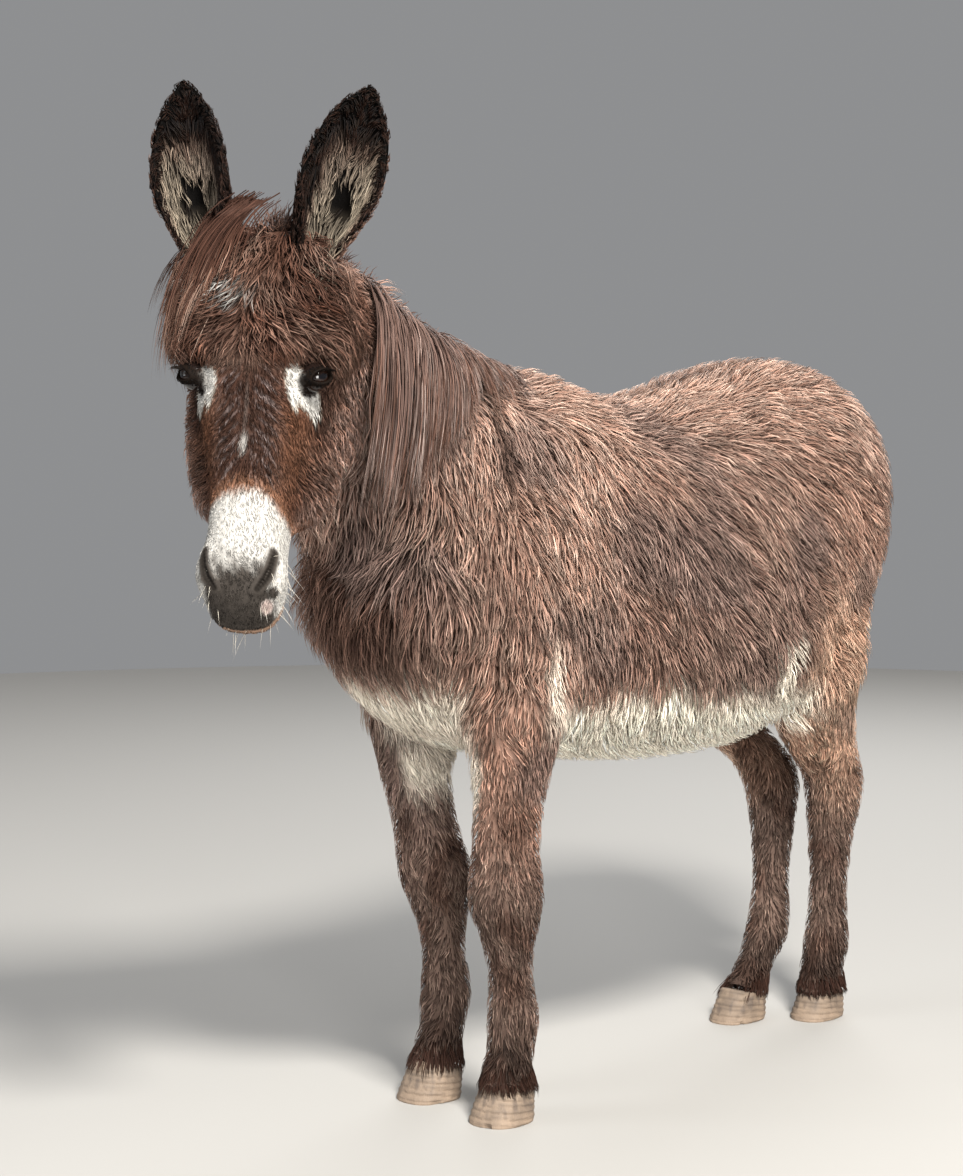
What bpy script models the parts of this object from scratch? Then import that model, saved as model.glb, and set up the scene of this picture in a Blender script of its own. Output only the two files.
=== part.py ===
"""A standing donkey in its shaggy winter coat, life size, with its head turned to its left.

Metres, +Z up. The donkey faces -Y, and +X is its left side. The solids reach out to the tips of the coat.
The flesh is lofted limb by limb, grown together, and then parted into named pieces with thin cuts.
"""

import math

import bmesh
import bpy
import numpy as np
from mathutils import Matrix, Vector

X, Y, Z = Vector((1, 0, 0)), Vector((0, 1, 0)), Vector((0, 0, 1))
LEFT, RIGHT = 1, -1

GAP = 0.0005  # between neighbouring pieces
VOXEL = 0.009  # how finely the lofts are grown together
FLESH_TRIANGLES = 5100

# The head's own frame has the nose along -Y and the forehead along +Z, with the poll at its origin.
POLL = Vector((0.000, -0.825, 1.338))
HEAD_PITCH = math.radians(70)
HEAD_YAW = math.radians(36)
HEAD_TILT = math.radians(-2.3)  # its muzzle swings to its right
HEAD_ROLL = math.radians(-4)

# Upright slices of the trunk, breast to rump: along y, top, underline, half width, height of the widest place
TRUNK = (
    (-0.668, 0.890, 0.800, 0.040, 0.84),
    (-0.656, 0.930, 0.745, 0.095, 0.83),
    (-0.625, 0.975, 0.690, 0.138, 0.83),
    (-0.570, 1.030, 0.625, 0.172, 0.82),
    (-0.490, 1.085, 0.580, 0.197, 0.82),
    (-0.400, 1.128, 0.552, 0.212, 0.82),
    (-0.300, 1.148, 0.535, 0.224, 0.80),
    (-0.180, 1.112, 0.518, 0.242, 0.77),
    (-0.060, 1.096, 0.505, 0.258, 0.75),
    (0.070, 1.112, 0.500, 0.265, 0.75),
    (0.190, 1.138, 0.505, 0.258, 0.77),
    (0.290, 1.152, 0.545, 0.243, 0.81),
    (0.390, 1.152, 0.610, 0.226, 0.86),
    (0.480, 1.125, 0.650, 0.194, 0.90),
    (0.550, 1.062, 0.700, 0.150, 0.90),
    (0.595, 0.990, 0.770, 0.098, 0.90),
    (0.612, 0.940, 0.840, 0.040, 0.89),
)

# Slices of the neck, shoulder to poll: crest y and z, throat y and z, half width
NECK = (
    (-0.300, 1.128, -0.500, 0.680, 0.180),
    (-0.400, 1.150, -0.625, 0.790, 0.172),
    (-0.500, 1.190, -0.690, 0.890, 0.152),
    (-0.600, 1.247, -0.730, 0.975, 0.130),
    (-0.700, 1.302, -0.762, 1.055, 0.112),
    (-0.785, 1.340, -0.800, 1.120, 0.098),
)

# Slices of the head, poll to lips: distance from the poll, forehead side, jaw side, half width
HEAD = (
    (0.000, 0.030, 0.095, 0.080),
    (0.050, 0.055, 0.160, 0.112),
    (0.110, 0.068, 0.195, 0.140),
    (0.160, 0.064, 0.200, 0.141),
    (0.205, 0.054, 0.195, 0.112),
    (0.270, 0.044, 0.175, 0.088),
    (0.340, 0.034, 0.142, 0.067),
    (0.410, 0.027, 0.116, 0.057),
    (0.465, 0.023, 0.106, 0.057),
    (0.510, 0.014, 0.106, 0.058),
    (0.542, -0.006, 0.105, 0.050),
    (0.562, -0.035, 0.092, 0.032),
)

# Where each leg runs, from its top to the middle of its sole: height, x, y
LEG_LINES = {
    "foreleg_left": (
        (0.860, 0.135, -0.420),
        (0.560, 0.122, -0.442),
        (0.350, 0.101, -0.436),
        (0.160, 0.086, -0.404),
        (0.070, 0.079, -0.405),
        (0.000, 0.075, -0.412),
    ),
    "foreleg_right": (
        (0.860, -0.135, -0.420),
        (0.560, -0.125, -0.392),
        (0.350, -0.108, -0.358),
        (0.160, -0.098, -0.350),
        (0.070, -0.096, -0.366),
        (0.000, -0.095, -0.386),
    ),
    "hind_leg_left": (
        (1.000, 0.120, 0.400),
        (0.660, 0.132, 0.345),
        (0.510, 0.114, 0.375),
        (0.405, 0.094, 0.450),
        (0.250, 0.084, 0.460),
        (0.125, 0.079, 0.462),
        (0.060, 0.076, 0.452),
        (0.000, 0.075, 0.448),
    ),
    "hind_leg_right": (
        (1.000, -0.120, 0.400),
        (0.660, -0.130, 0.345),
        (0.510, -0.095, 0.395),
        (0.405, -0.062, 0.482),
        (0.250, -0.050, 0.478),
        (0.125, -0.036, 0.444),
        (0.060, -0.024, 0.372),
        (0.000, -0.018, 0.340),
    ),
}

# Level slices of a leg about its line: height, reach forward, reach back, half width
FORELEG = (
    (0.860, 0.090, 0.120, 0.072),
    (0.740, 0.088, 0.112, 0.078),
    (0.640, 0.080, 0.092, 0.070),
    (0.540, 0.068, 0.062, 0.058),
    (0.440, 0.060, 0.052, 0.052),
    (0.375, 0.062, 0.060, 0.058),
    (0.335, 0.062, 0.062, 0.058),
    (0.290, 0.044, 0.052, 0.044),
    (0.230, 0.036, 0.042, 0.035),
    (0.185, 0.038, 0.048, 0.040),
    (0.150, 0.042, 0.050, 0.043),
    (0.110, 0.038, 0.040, 0.038),
    (0.070, 0.048, 0.040, 0.042),
    (0.040, 0.048, 0.038, 0.042),
)
HIND_LEG = (
    (1.000, 0.160, 0.130, 0.080),
    (0.900, 0.190, 0.140, 0.096),
    (0.780, 0.185, 0.118, 0.094),
    (0.670, 0.160, 0.106, 0.082),
    (0.580, 0.118, 0.092, 0.068),
    (0.510, 0.086, 0.092, 0.056),
    (0.450, 0.062, 0.088, 0.049),
    (0.400, 0.056, 0.080, 0.046),
    (0.345, 0.048, 0.058, 0.042),
    (0.260, 0.038, 0.044, 0.035),
    (0.180, 0.038, 0.044, 0.036),
    (0.130, 0.046, 0.052, 0.042),
    (0.090, 0.046, 0.044, 0.038),
    (0.060, 0.052, 0.044, 0.040),
    (0.035, 0.052, 0.040, 0.040),
)

# Hooves: half width and reach to toe and heel at the sole, height at toe and heel, and how the toe turns out
HOOVES = {
    "foreleg_left": (0.047, 0.056, 0.046, 0.066, 0.040, 4),
    "foreleg_right": (0.047, 0.056, 0.046, 0.066, 0.040, 4),
    "hind_leg_left": (0.042, 0.062, 0.048, 0.060, 0.036, 6),
    "hind_leg_right": (0.042, 0.062, 0.048, 0.060, 0.036, 2),
}

HOOF_TAPER = 0.20  # how much narrower it is at the coronet
HOOF_EDGE = 0.03  # how much its worn edge is drawn in
HOOF_SLOPE = 0.018  # how far back the coronet stands

EYE_RADIUS = 0.0215
EYE_PLACE = Vector((0.083, -0.219, 0.006))  # in the head's frame, on the left

EAR_LENGTH = 0.212
EAR_ROOT = Vector((0.080, -0.016, 0.030))  # in the head's frame, on the left
EAR_SINK = 0.034  # how deep its root starts in the head
EAR_BACK = 0.030  # its back's distance behind the root
EAR_THICK = 0.012
# Along the ear: share of its length, half width, half angle of the rolled blade in degrees
EAR = (
    (0.00, 0.034, 140),
    (0.15, 0.043, 128),
    (0.35, 0.053, 105),
    (0.55, 0.055, 88),
    (0.75, 0.046, 72),
    (0.90, 0.028, 60),
    (1.00, 0.006, 50),
)

EAR_LEAN = math.radians(16)  # outward
EAR_TILT = math.radians(4.5)  # both lean to the left
EAR_TURN = math.radians(14)  # its opening turns outward

# Rounded forms under the coat, as ellipsoids on the left: centre, then half sizes
HEAD_FORMS = (
    ((0.080, -0.164, 0.010), (0.028, 0.040, 0.026)),  # brow
    ((0.056, -0.232, -0.104), (0.070, 0.180, 0.072)),  # cheek and jaw
    ((0.037, -0.490, -0.020), (0.032, 0.044, 0.034)),  # nostril
    ((0.014, -0.522, -0.082), (0.032, 0.034, 0.028)),  # chin
    ((0.034, -0.095, 0.030), (0.090, 0.110, 0.040)),  # hair of the forehead
)
BODY_FORMS = (
    ((0.086, -0.520, 0.810), (0.105, 0.125, 0.140)),  # point of the shoulder
    ((0.080, -0.360, 0.920), (0.120, 0.150, 0.190)),  # shoulder blade
    ((0.140, 0.262, 0.690), (0.078, 0.100, 0.120)),  # stifle
    ((0.095, 0.440, 0.900), (0.092, 0.110, 0.150)),  # buttock
    ((0.080, 0.395, 0.755), (0.080, 0.108, 0.170)),  # back of the thigh
)

# The tail's line and its half thickness: x, y, z, half thickness
TAIL = (
    (0.000, 0.540, 1.070, 0.040),
    (-0.004, 0.596, 1.005, 0.038),
    (-0.012, 0.624, 0.900, 0.032),
    (-0.022, 0.618, 0.780, 0.030),
    (-0.030, 0.600, 0.660, 0.036),
    (-0.036, 0.588, 0.560, 0.046),
    (-0.040, 0.584, 0.470, 0.038),
    (-0.042, 0.586, 0.400, 0.010),
)

# The thin discs that part the flesh: centre, normal, radius
CUTS = {
    "neck from head": (Vector((0.0, -0.700, 1.130)), Vector((0.0, -0.95, 0.31)), 0.19),
    "trunk from neck": (Vector((0.0, -0.510, 0.970)), Vector((0.0, -0.75, 0.66)), 0.31),
    "left foreleg": (Vector((0.120, -0.440, 0.606)), Vector((-0.65, 0.35, 1.0)), 0.12),
    "right foreleg": (Vector((-0.123, -0.400, 0.594)), Vector((0.65, 0.35, 1.0)), 0.12),
    "left hind leg": (Vector((0.126, 0.370, 0.615)), Vector((-0.45, -0.62, 1.0)), 0.175),
    "right hind leg": (Vector((-0.120, 0.378, 0.617)), Vector((0.45, -0.62, 1.0)), 0.175),
}
# A place on each piece, to name it by
HEARTS = {
    "trunk": (0.260, 0.050, 0.800),
    "neck": (0.120, -0.560, 1.080),
    "head": (0.040, -0.980, 1.050),
    "foreleg_left": (0.120, -0.440, 0.400),
    "foreleg_right": (-0.120, -0.370, 0.400),
    "hind_leg_left": (0.090, 0.450, 0.300),
    "hind_leg_right": (-0.050, 0.480, 0.300),
}

SHARP = math.radians(50)
KINDS = {"eye": "eye", "hoof": "horn", "mane": "mane"}  # by a word in the piece's name; the rest is coat
# Colour and roughness of each kind of stuff
STUFF = {
    "coat": ((0.115, 0.062, 0.042), 0.85),
    "mane": ((0.070, 0.042, 0.034), 0.80),
    "horn": ((0.260, 0.215, 0.170), 0.60),
    "eye": ((0.012, 0.008, 0.006), 0.08),
}

MANE_THICK = 0.022
MANE_SINK = 0.012  # how deep its inner side starts, before the neck is taken out of it
MANE_SLICES = 15
MANE_POINTS = 9  # round the neck
MANE_REACH = (0.10, 0.95)  # along the neck, as shares of its length
MANE_PARTING = math.radians(-14)  # just past the crest, on the right
MANE_FALL_WITHERS = math.radians(48)  # how far round the neck it hangs at either end
MANE_FALL_POLL = math.radians(142)


def clear_scene():
    for obj in list(bpy.data.objects):
        bpy.data.objects.remove(obj)


def smooth_rows(table, count):
    """The table's rows with more between them, on smooth curves through the given ones."""
    rows = np.array(table, float)
    fine = np.linspace(0, len(rows) - 1, count)
    low = np.minimum(fine.astype(int), len(rows) - 2)
    f = (fine - low)[:, None]
    slope = np.gradient(rows, axis=0)
    fine_rows = (
        (1 + 2 * f) * (1 - f) ** 2 * rows[low]
        + f * (1 - f) ** 2 * slope[low]
        + f * f * (3 - 2 * f) * rows[low + 1]
        + f * f * (f - 1) * slope[low + 1]
    )
    return fine_rows.tolist()


def steps(first, last, count):
    """Evenly spaced values, both ends among them."""
    return [first + (last - first) * k / (count - 1) for k in range(count)]


def ring(centre, side, up, half_width, rise, drop, count=28, power=2.2):
    """Points round a rounded outline: half_width to each side, rise above the centre and drop below it."""
    points = []
    for k in range(count):
        angle = 2 * math.pi * k / count
        c, s = math.cos(angle), math.sin(angle)
        across = math.copysign(abs(c) ** (2 / power), c) * half_width
        along = math.copysign(abs(s) ** (2 / power), s) * (rise if s > 0 else drop)
        points.append(centre + side * across + up * along)
    return points


def loft(bm, rings):
    """A closed skin over the rings, in order, with both ends capped."""
    rows = [[bm.verts.new(p) for p in points] for points in rings]
    count = len(rows[0])
    faces = [
        bm.faces.new((a[k], a[(k + 1) % count], b[(k + 1) % count], b[k]))
        for a, b in zip(rows, rows[1:])
        for k in range(count)
    ]
    faces.append(bm.faces.new(rows[0][::-1]))
    faces.append(bm.faces.new(rows[-1]))
    bmesh.ops.recalc_face_normals(bm, faces=faces)


def object_of(name, bm):
    mesh = bpy.data.meshes.new(name)
    bm.to_mesh(mesh)
    bm.free()
    obj = bpy.data.objects.new(name, mesh)
    bpy.context.scene.collection.objects.link(obj)
    return obj


def baked(obj):
    """The object's mesh with its modifiers applied."""
    bpy.context.view_layer.update()
    graph = bpy.context.evaluated_depsgraph_get()
    mesh = bpy.data.meshes.new_from_object(obj.evaluated_get(graph))
    obj.modifiers.clear()
    obj.data = mesh
    return obj


def head_matrix():
    """From the head's own frame to its place."""
    turn = (
        Matrix.Rotation(HEAD_YAW, 4, "Z")
        @ Matrix.Rotation(HEAD_PITCH, 4, "X")
        @ Matrix.Rotation(HEAD_TILT, 4, "Z")
        @ Matrix.Rotation(HEAD_ROLL, 4, "Y")
    )
    return Matrix.Translation(POLL) @ turn


def add_trunk(bm):
    rings = []
    for y, top, bottom, half, wide in smooth_rows(TRUNK, 44):
        rings.append(ring(Vector((0, y, wide)), X, Z, half, top - wide, wide - bottom))
    loft(bm, rings)


def neck_slices(count):
    """Centre, upward direction, half height and half width of slices from shoulder to poll."""
    for crest_y, crest_z, throat_y, throat_z, half in smooth_rows(NECK, count):
        crest, throat = Vector((0, crest_y, crest_z)), Vector((0, throat_y, throat_z))
        up = crest - throat
        yield (crest + throat) / 2, up.normalized(), up.length / 2, half


def add_neck(bm):
    loft(bm, [ring(c, X, up, half, tall, tall, power=2.0) for c, up, tall, half in neck_slices(20)])


def add_head(bm):
    place = head_matrix()
    turn = place.to_3x3()
    rings = []
    for along, face, jaw, half in smooth_rows(HEAD, 36):
        middle = (face - jaw) / 2
        tall = (face + jaw) / 2
        centre = place @ Vector((0, -along, middle))
        rings.append(ring(centre, turn @ X, turn @ Z, half, tall, tall, power=2.3))
    loft(bm, rings)


def leg_line(name, height):
    """Where a leg's line is at a height: x and y."""
    heights, xs, ys = zip(*smooth_rows(LEG_LINES[name][::-1], 60))
    return float(np.interp(height, heights, xs)), float(np.interp(height, heights, ys))


def add_leg(bm, name, table):
    rings = []
    for z, front, back, half in smooth_rows(table, 48):
        x, y = leg_line(name, z)
        centre = Vector((x, y + (back - front) / 2, z))
        depth = (back + front) / 2
        rings.append(ring(centre, X, Y, half, depth, depth, count=20, power=2.1))
    loft(bm, rings)


def add_forms(bm, forms, place):
    """The ellipsoids of a table, each with its mirror image."""
    for centre, sizes in forms:
        for side in (LEFT, RIGHT):
            at = Vector((centre[0] * side, centre[1], centre[2]))
            stretch = Matrix.Diagonal((*sizes, 1))
            bmesh.ops.create_uvsphere(
                bm, u_segments=24, v_segments=14, radius=1, matrix=place @ Matrix.Translation(at) @ stretch
            )


def make_flesh():
    """Trunk, neck, head and legs grown together into one closed skin."""
    bm = bmesh.new()
    add_trunk(bm)
    add_neck(bm)
    add_head(bm)
    for name in LEG_LINES:
        add_leg(bm, name, FORELEG if name.startswith("fore") else HIND_LEG)
    add_forms(bm, HEAD_FORMS, head_matrix())
    add_forms(bm, BODY_FORMS, Matrix())
    obj = object_of("flesh", bm)
    grow = obj.modifiers.new("grow together", "REMESH")
    grow.mode = "VOXEL"
    grow.voxel_size = VOXEL
    soften = obj.modifiers.new("soften", "SMOOTH")
    soften.factor = 0.5
    soften.iterations = 10
    baked(obj)
    thin = obj.modifiers.new("fewer faces", "DECIMATE")
    thin.ratio = FLESH_TRIANGLES / (2 * len(obj.data.polygons))
    return baked(obj)


def make_hoof(name):
    """A hoof, wider at the sole than at the coronet, with its toe sloping forward."""
    half, toe, heel, toe_high, heel_high, turned = HOOVES[name]
    side = LEFT if "left" in name else RIGHT
    x, y = leg_line(name, 0)
    turn = Matrix.Rotation(math.radians(turned) * side, 3, "Z")
    rings = []
    for share in (0.0, 0.06, 0.5, 1.0):
        flare = 1.0 - HOOF_TAPER * share - (HOOF_EDGE if share == 0 else 0)
        points = ring(Vector(), X, Y, half * flare, heel * flare, toe * flare, count=20, power=2.3)
        for p in points:
            back = (p.y + toe) / (toe + heel)
            p.z = share * (toe_high + (heel_high - toe_high) * back)
            p.y += HOOF_SLOPE * share
        rings.append([turn @ p + Vector((x, y, 0)) for p in points])
    bm = bmesh.new()
    loft(bm, rings)
    return object_of(name.replace("foreleg", "fore_hoof").replace("hind_leg", "hind_hoof"), bm)


def make_eye(side):
    bm = bmesh.new()
    place = head_matrix() @ Matrix.Translation(Vector((EYE_PLACE.x * side, EYE_PLACE.y, EYE_PLACE.z)))
    bmesh.ops.create_uvsphere(bm, u_segments=14, v_segments=8, radius=EYE_RADIUS, matrix=place)
    return object_of("eye_left" if side > 0 else "eye_right", bm)


def make_ear(side):
    """A long cup, rolled nearly shut at its root and open to the front above it."""
    place = head_matrix()
    root = place @ Vector((EAR_ROOT.x * side, EAR_ROOT.y, EAR_ROOT.z))
    lean = Matrix.Rotation(EAR_LEAN * side + EAR_TILT, 3, "Y")
    turn = Matrix.Rotation(EAR_TURN * side, 3, "Z")
    face = Matrix.Rotation(HEAD_YAW, 3, "Z")
    rings = []
    for share, half, open_angle in smooth_rows(EAR, 8):
        angle = math.radians(open_angle)
        radius = half / math.sin(min(angle, math.pi / 2))
        wall = min(EAR_THICK, half * 0.9)
        height = EAR_LENGTH * share - EAR_SINK * (1 - share)
        middle = Vector((0, EAR_BACK - radius, height))
        outer = [middle + radius * Vector((math.sin(t), math.cos(t), 0)) for t in steps(-angle, angle, 9)]
        inner = [
            middle + (radius - wall) * Vector((math.sin(t), math.cos(t), 0))
            for t in steps(angle * 0.97, -angle * 0.97, 6)
        ]
        rings.append([root + face @ lean @ turn @ p for p in outer + inner])
    bm = bmesh.new()
    loft(bm, rings)
    return object_of("ear_left" if side > 0 else "ear_right", bm)


def make_mane():
    """A thick fall of hair along the crest, hanging down the left side of the neck."""
    slices = list(neck_slices(MANE_SLICES))
    first, last = (round(share * (MANE_SLICES - 1)) for share in MANE_REACH)
    rings = []
    for n in range(first, last + 1):
        centre, up, tall, half = slices[n]
        share = (n - first) / (last - first)
        fall = MANE_FALL_WITHERS + (MANE_FALL_POLL - MANE_FALL_WITHERS) * math.sin(math.pi * share / 2)
        thick = MANE_THICK * (0.45 + 0.55 * math.sqrt(1 - (2 * share - 1) ** 8))
        angles = steps(MANE_PARTING, fall, MANE_POINTS)

        def at(angle, out):
            return centre + X * math.sin(angle) * (half + out) + up * math.cos(angle) * (tall + out)

        swell = [0.45 + 0.55 * math.sin(math.pi * (k + 0.7) / (MANE_POINTS + 0.4))
                 for k in range(MANE_POINTS)]
        outer = [at(angle, thick * part) for angle, part in zip(angles, swell)]
        rings.append(outer + [at(angle, -MANE_SINK) for angle in angles[::-2]])
    bm = bmesh.new()
    loft(bm, rings)
    return object_of("mane", bm)


def make_tail():
    rings = []
    rows = smooth_rows(TAIL, 15)
    for n, (x, y, z, thick) in enumerate(rows):
        before, after = rows[max(n - 1, 0)], rows[min(n + 1, len(rows) - 1)]
        along = (Vector(after[:3]) - Vector(before[:3])).normalized()
        side = (X - along * X.dot(along)).normalized()
        deep = thick * 0.8
        rings.append(ring(Vector((x, y, z)), side, along.cross(side), thick, deep, deep, count=12, power=2))
    bm = bmesh.new()
    loft(bm, rings)
    return object_of("tail", bm)


def grown(obj, by):
    """A copy of a solid, thicker all over by a small amount."""
    bm = bmesh.new()
    bm.from_mesh(obj.data)
    moves = [(v, v.normal * by * v.calc_shell_factor()) for v in bm.verts]
    for v, move in moves:
        v.co += move
    return object_of(obj.name + "_grown", bm)


def subtract(obj, cutter):
    take = obj.modifiers.new("subtract", "BOOLEAN")
    take.operation = "DIFFERENCE"
    take.solver = "EXACT"
    take.use_self = True  # the mane crosses itself where it turns round the cheek
    take.object = cutter
    baked(obj)


def cut_away(obj, *others):
    """Takes the other solids' space, and the gap round it, out of a solid."""
    for other in others:
        cutter = grown(other, GAP)
        subtract(obj, cutter)
        bpy.data.objects.remove(cutter)


def thin_disc(centre, normal, radius):
    bm = bmesh.new()
    bmesh.ops.create_cone(
        bm, cap_ends=True, segments=32, radius1=radius, radius2=radius, depth=GAP,
        matrix=Matrix.Translation(centre) @ normal.to_track_quat("Z", "Y").to_matrix().to_4x4(),
    )
    return object_of("disc", bm)


def islands(bm):
    """The sets of vertices that hang together."""
    left = set(bm.verts)
    while left:
        seed = left.pop()
        island, edge = {seed}, [seed]
        while edge:
            near = {v for link in edge.pop().link_edges for v in link.verts} - island
            island |= near
            edge += near
        left -= island
        yield island


def part_flesh(flesh):
    """Parts the flesh with thin discs, and names each piece by the place it holds."""
    for centre, normal, radius in CUTS.values():
        disc = thin_disc(centre, normal, radius)
        subtract(flesh, disc)
        bpy.data.objects.remove(disc)
    bm = bmesh.new()
    bm.from_mesh(flesh.data)
    for island in list(islands(bm)):
        name = min(HEARTS, key=lambda name: min((v.co - Vector(HEARTS[name])).length for v in island))
        keep = {v.index for v in island}
        alone = bm.copy()
        bmesh.ops.delete(alone, geom=[v for v in alone.verts if v.index not in keep], context="VERTS")
        object_of(name, alone)
    bm.free()
    bpy.data.objects.remove(flesh)


def paint(obj, name):
    """Gives a piece its own material, by the kind of stuff it is."""
    colour, roughness = STUFF[name]
    material = bpy.data.materials.new(obj.name + "_" + name)
    material.use_nodes = True
    shader = material.node_tree.nodes["Principled BSDF"]
    shader.inputs["Base Color"].default_value = (*colour, 1)
    shader.inputs["Roughness"].default_value = roughness
    obj.data.materials.clear()
    obj.data.materials.append(material)


def finish():
    """Collects the pieces, with the origin under the middle of the whole, and gives each its material."""
    donkey = bpy.data.collections.new("donkey")
    bpy.context.scene.collection.children.link(donkey)
    pieces = list(bpy.context.scene.collection.objects)
    corners = [obj.matrix_world @ v.co for obj in pieces for v in obj.data.vertices]
    middle = [(min(c[k] for c in corners) + max(c[k] for c in corners)) / 2 for k in (0, 1)]
    for obj in pieces:
        obj.data.transform(Matrix.Translation((-middle[0], -middle[1], 0)))
        obj.data.shade_smooth()
        obj.data.set_sharp_from_angle(angle=SHARP)
        paint(obj, next((kind for word, kind in KINDS.items() if word in obj.name), "coat"))
        bpy.context.scene.collection.objects.unlink(obj)
        donkey.objects.link(obj)


clear_scene()
flesh = make_flesh()
hooves = [make_hoof(name) for name in LEG_LINES]
eyes = [make_eye(side) for side in (LEFT, RIGHT)]
ears = [make_ear(side) for side in (LEFT, RIGHT)]
mane = make_mane()
tail = make_tail()
for piece in (*ears, mane, tail):
    cut_away(piece, flesh)
cut_away(mane, *ears)
cut_away(flesh, *eyes, *hooves)
part_flesh(flesh)
finish()
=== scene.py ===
"""The looks of a standing donkey in its shaggy winter coat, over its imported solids.

One skin with its lids and ears lies inside the solids by the depth of the coat. The coat is solid locks that
follow the skin. The mane, forelock, ear hair, tail, whiskers, lashes and the hair over the hooves are locks
of their own. Eyes and hooves are separate surfaces. Metres, +Z up; the donkey faces -Y, its left is +X.
"""

import math

import bmesh
import bpy
import numpy as np
from mathutils import Matrix, Vector
from mathutils.bvhtree import BVHTree
from mathutils.kdtree import KDTree


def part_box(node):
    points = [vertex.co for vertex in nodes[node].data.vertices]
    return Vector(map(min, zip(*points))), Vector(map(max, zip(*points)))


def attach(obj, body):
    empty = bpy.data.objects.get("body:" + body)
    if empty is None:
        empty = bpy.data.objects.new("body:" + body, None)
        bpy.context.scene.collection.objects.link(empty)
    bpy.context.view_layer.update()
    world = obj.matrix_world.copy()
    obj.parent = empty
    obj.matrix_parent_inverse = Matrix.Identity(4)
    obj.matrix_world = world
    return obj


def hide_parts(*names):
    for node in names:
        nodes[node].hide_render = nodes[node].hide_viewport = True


LEFT, RIGHT = 1, -1
FLESH = (
    "trunk", "neck", "head", "tail",
    "foreleg_left", "foreleg_right", "hind_leg_left", "hind_leg_right",
)
HOOVES = ("fore_hoof_left", "fore_hoof_right", "hind_hoof_left", "hind_hoof_right")

# The head's pose: how it is turned, dropped, swung and rolled. In its own frame the nose is along -Y and the
# forehead along +Z
HEAD_TURN = [math.radians(a) for a in (36, 70, -2.3, -4)]
EYE_PLACE = np.array((0.083, -0.219, 0.006))  # of the left eye, in the head's frame

SKIN_VOXEL = 0.009
SKIN_ROUNDS = 14  # of relaxing, which takes the facets out of the solids

# The coat's depth over each part of the body
COAT_DEPTH = {
    "trunk": 0.024, "neck": 0.024, "head": 0.011, "tail": 0.016,
    "foreleg": 0.011, "hind_leg": 0.011,
}

# Colours of the hair, root side first, and of bare skin (linear)
BROWN = (0.255, 0.142, 0.103)
BROWN_TIP = (0.600, 0.438, 0.350)
SMOKE = (0.130, 0.088, 0.076)
CHOCOLATE = (0.042, 0.020, 0.014)
CHOCOLATE_TIP = (0.165, 0.082, 0.056)
RUST = (0.170, 0.074, 0.040)
BLACK = (0.006, 0.004, 0.003)
SHANK = (0.095, 0.060, 0.048)
SHANK_TIP = (0.395, 0.285, 0.225)
WHITE = (0.540, 0.522, 0.490)
CREAM = (0.880, 0.805, 0.680)
EAR_CREAM = (0.480, 0.400, 0.305)
NOSE_GREY = (0.035, 0.030, 0.026)
PINK = (0.400, 0.300, 0.270)
MANE_BROWN = (0.090, 0.057, 0.047)
MANE_TIP = (0.360, 0.285, 0.255)
SMOKE_TIP = (0.330, 0.245, 0.212)
THIGH = (0.470, 0.278, 0.192)
THIGH_TIP = (0.840, 0.645, 0.480)
RUST_TIP = (0.400, 0.245, 0.165)
# Painted grey sheen in the face's chevrons, at the hair's body and at its tips
FACE_SHEEN = (0.090, 0.068, 0.064)
FACE_SHEEN_TIP = (0.420, 0.345, 0.330)
# Tips of the jowls: pale hair with a painted lilac-grey sheen
JOWL_PALE_AND_SHEEN_TIP = (0.560, 0.420, 0.370)
LIP = (0.300, 0.190, 0.130)
LIP_TIP = (0.340, 0.220, 0.160)
# How many times brighter brown hair is where the sun bleaches it and painted light falls from above, in red,
# green and blue
BLEACH_AND_TOP_LIGHT = (1.3, 1.4, 1.45)
BLEACH_AND_TOP_LIGHT_TIP = (1.12, 1.22, 1.28)


# ---------------------------------------------------------------- arithmetic

def unit(v):
    """Vectors scaled to length one."""
    return v / np.maximum(np.linalg.norm(v, axis=-1, keepdims=True), 1e-9)


def dot(a, b):
    """The dot product of each pair of rows, kept as a column."""
    return (a * b).sum(-1, keepdims=True)


def rise(x, low, high):
    """0 below low, 1 above high, and a smooth step between them (low may be the greater)."""
    t = np.clip((x - low) / (high - low), 0, 1)
    return t * t * (3 - 2 * t)


def mix(a, b, share):
    """a where share is 0 and b where it is 1; share has one value for each row."""
    share = np.asarray(share)[..., None]
    return np.asarray(a) * (1 - share) + np.asarray(b) * share


def drift(points, size, seed):
    """A smooth random value from -1 to 1 at each point: a mean of 12 sine waves, each size long or more."""
    rng = np.random.default_rng(seed)
    ways = unit(rng.normal(size=(12, 3))) * rng.uniform(0.5, 1.0, (12, 1)) * (2 * math.pi / size)
    waves = np.sin(points @ ways.T + rng.uniform(0, 2 * math.pi, 12))
    return np.clip(waves.mean(-1) * 2.4, -1, 1)


# ---------------------------------------------------------------- the frame and its places

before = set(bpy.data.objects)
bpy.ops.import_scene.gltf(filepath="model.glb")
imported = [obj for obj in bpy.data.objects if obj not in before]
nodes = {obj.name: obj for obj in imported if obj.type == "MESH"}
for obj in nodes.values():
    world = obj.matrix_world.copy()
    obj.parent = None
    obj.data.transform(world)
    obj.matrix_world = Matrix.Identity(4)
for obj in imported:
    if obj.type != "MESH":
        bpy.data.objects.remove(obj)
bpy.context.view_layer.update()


def middle(node):
    """The middle of a solid's box."""
    low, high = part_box(node)
    return np.array((low + high) / 2)


def head_axes():
    """The head's left, back and forehead ways, as the columns of a matrix."""
    yaw, pitch, tilt, roll = HEAD_TURN
    turned = (
        Matrix.Rotation(yaw, 3, "Z") @ Matrix.Rotation(pitch, 3, "X")
        @ Matrix.Rotation(tilt, 3, "Z") @ Matrix.Rotation(roll, 3, "Y")
    )
    return np.array(turned)


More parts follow.
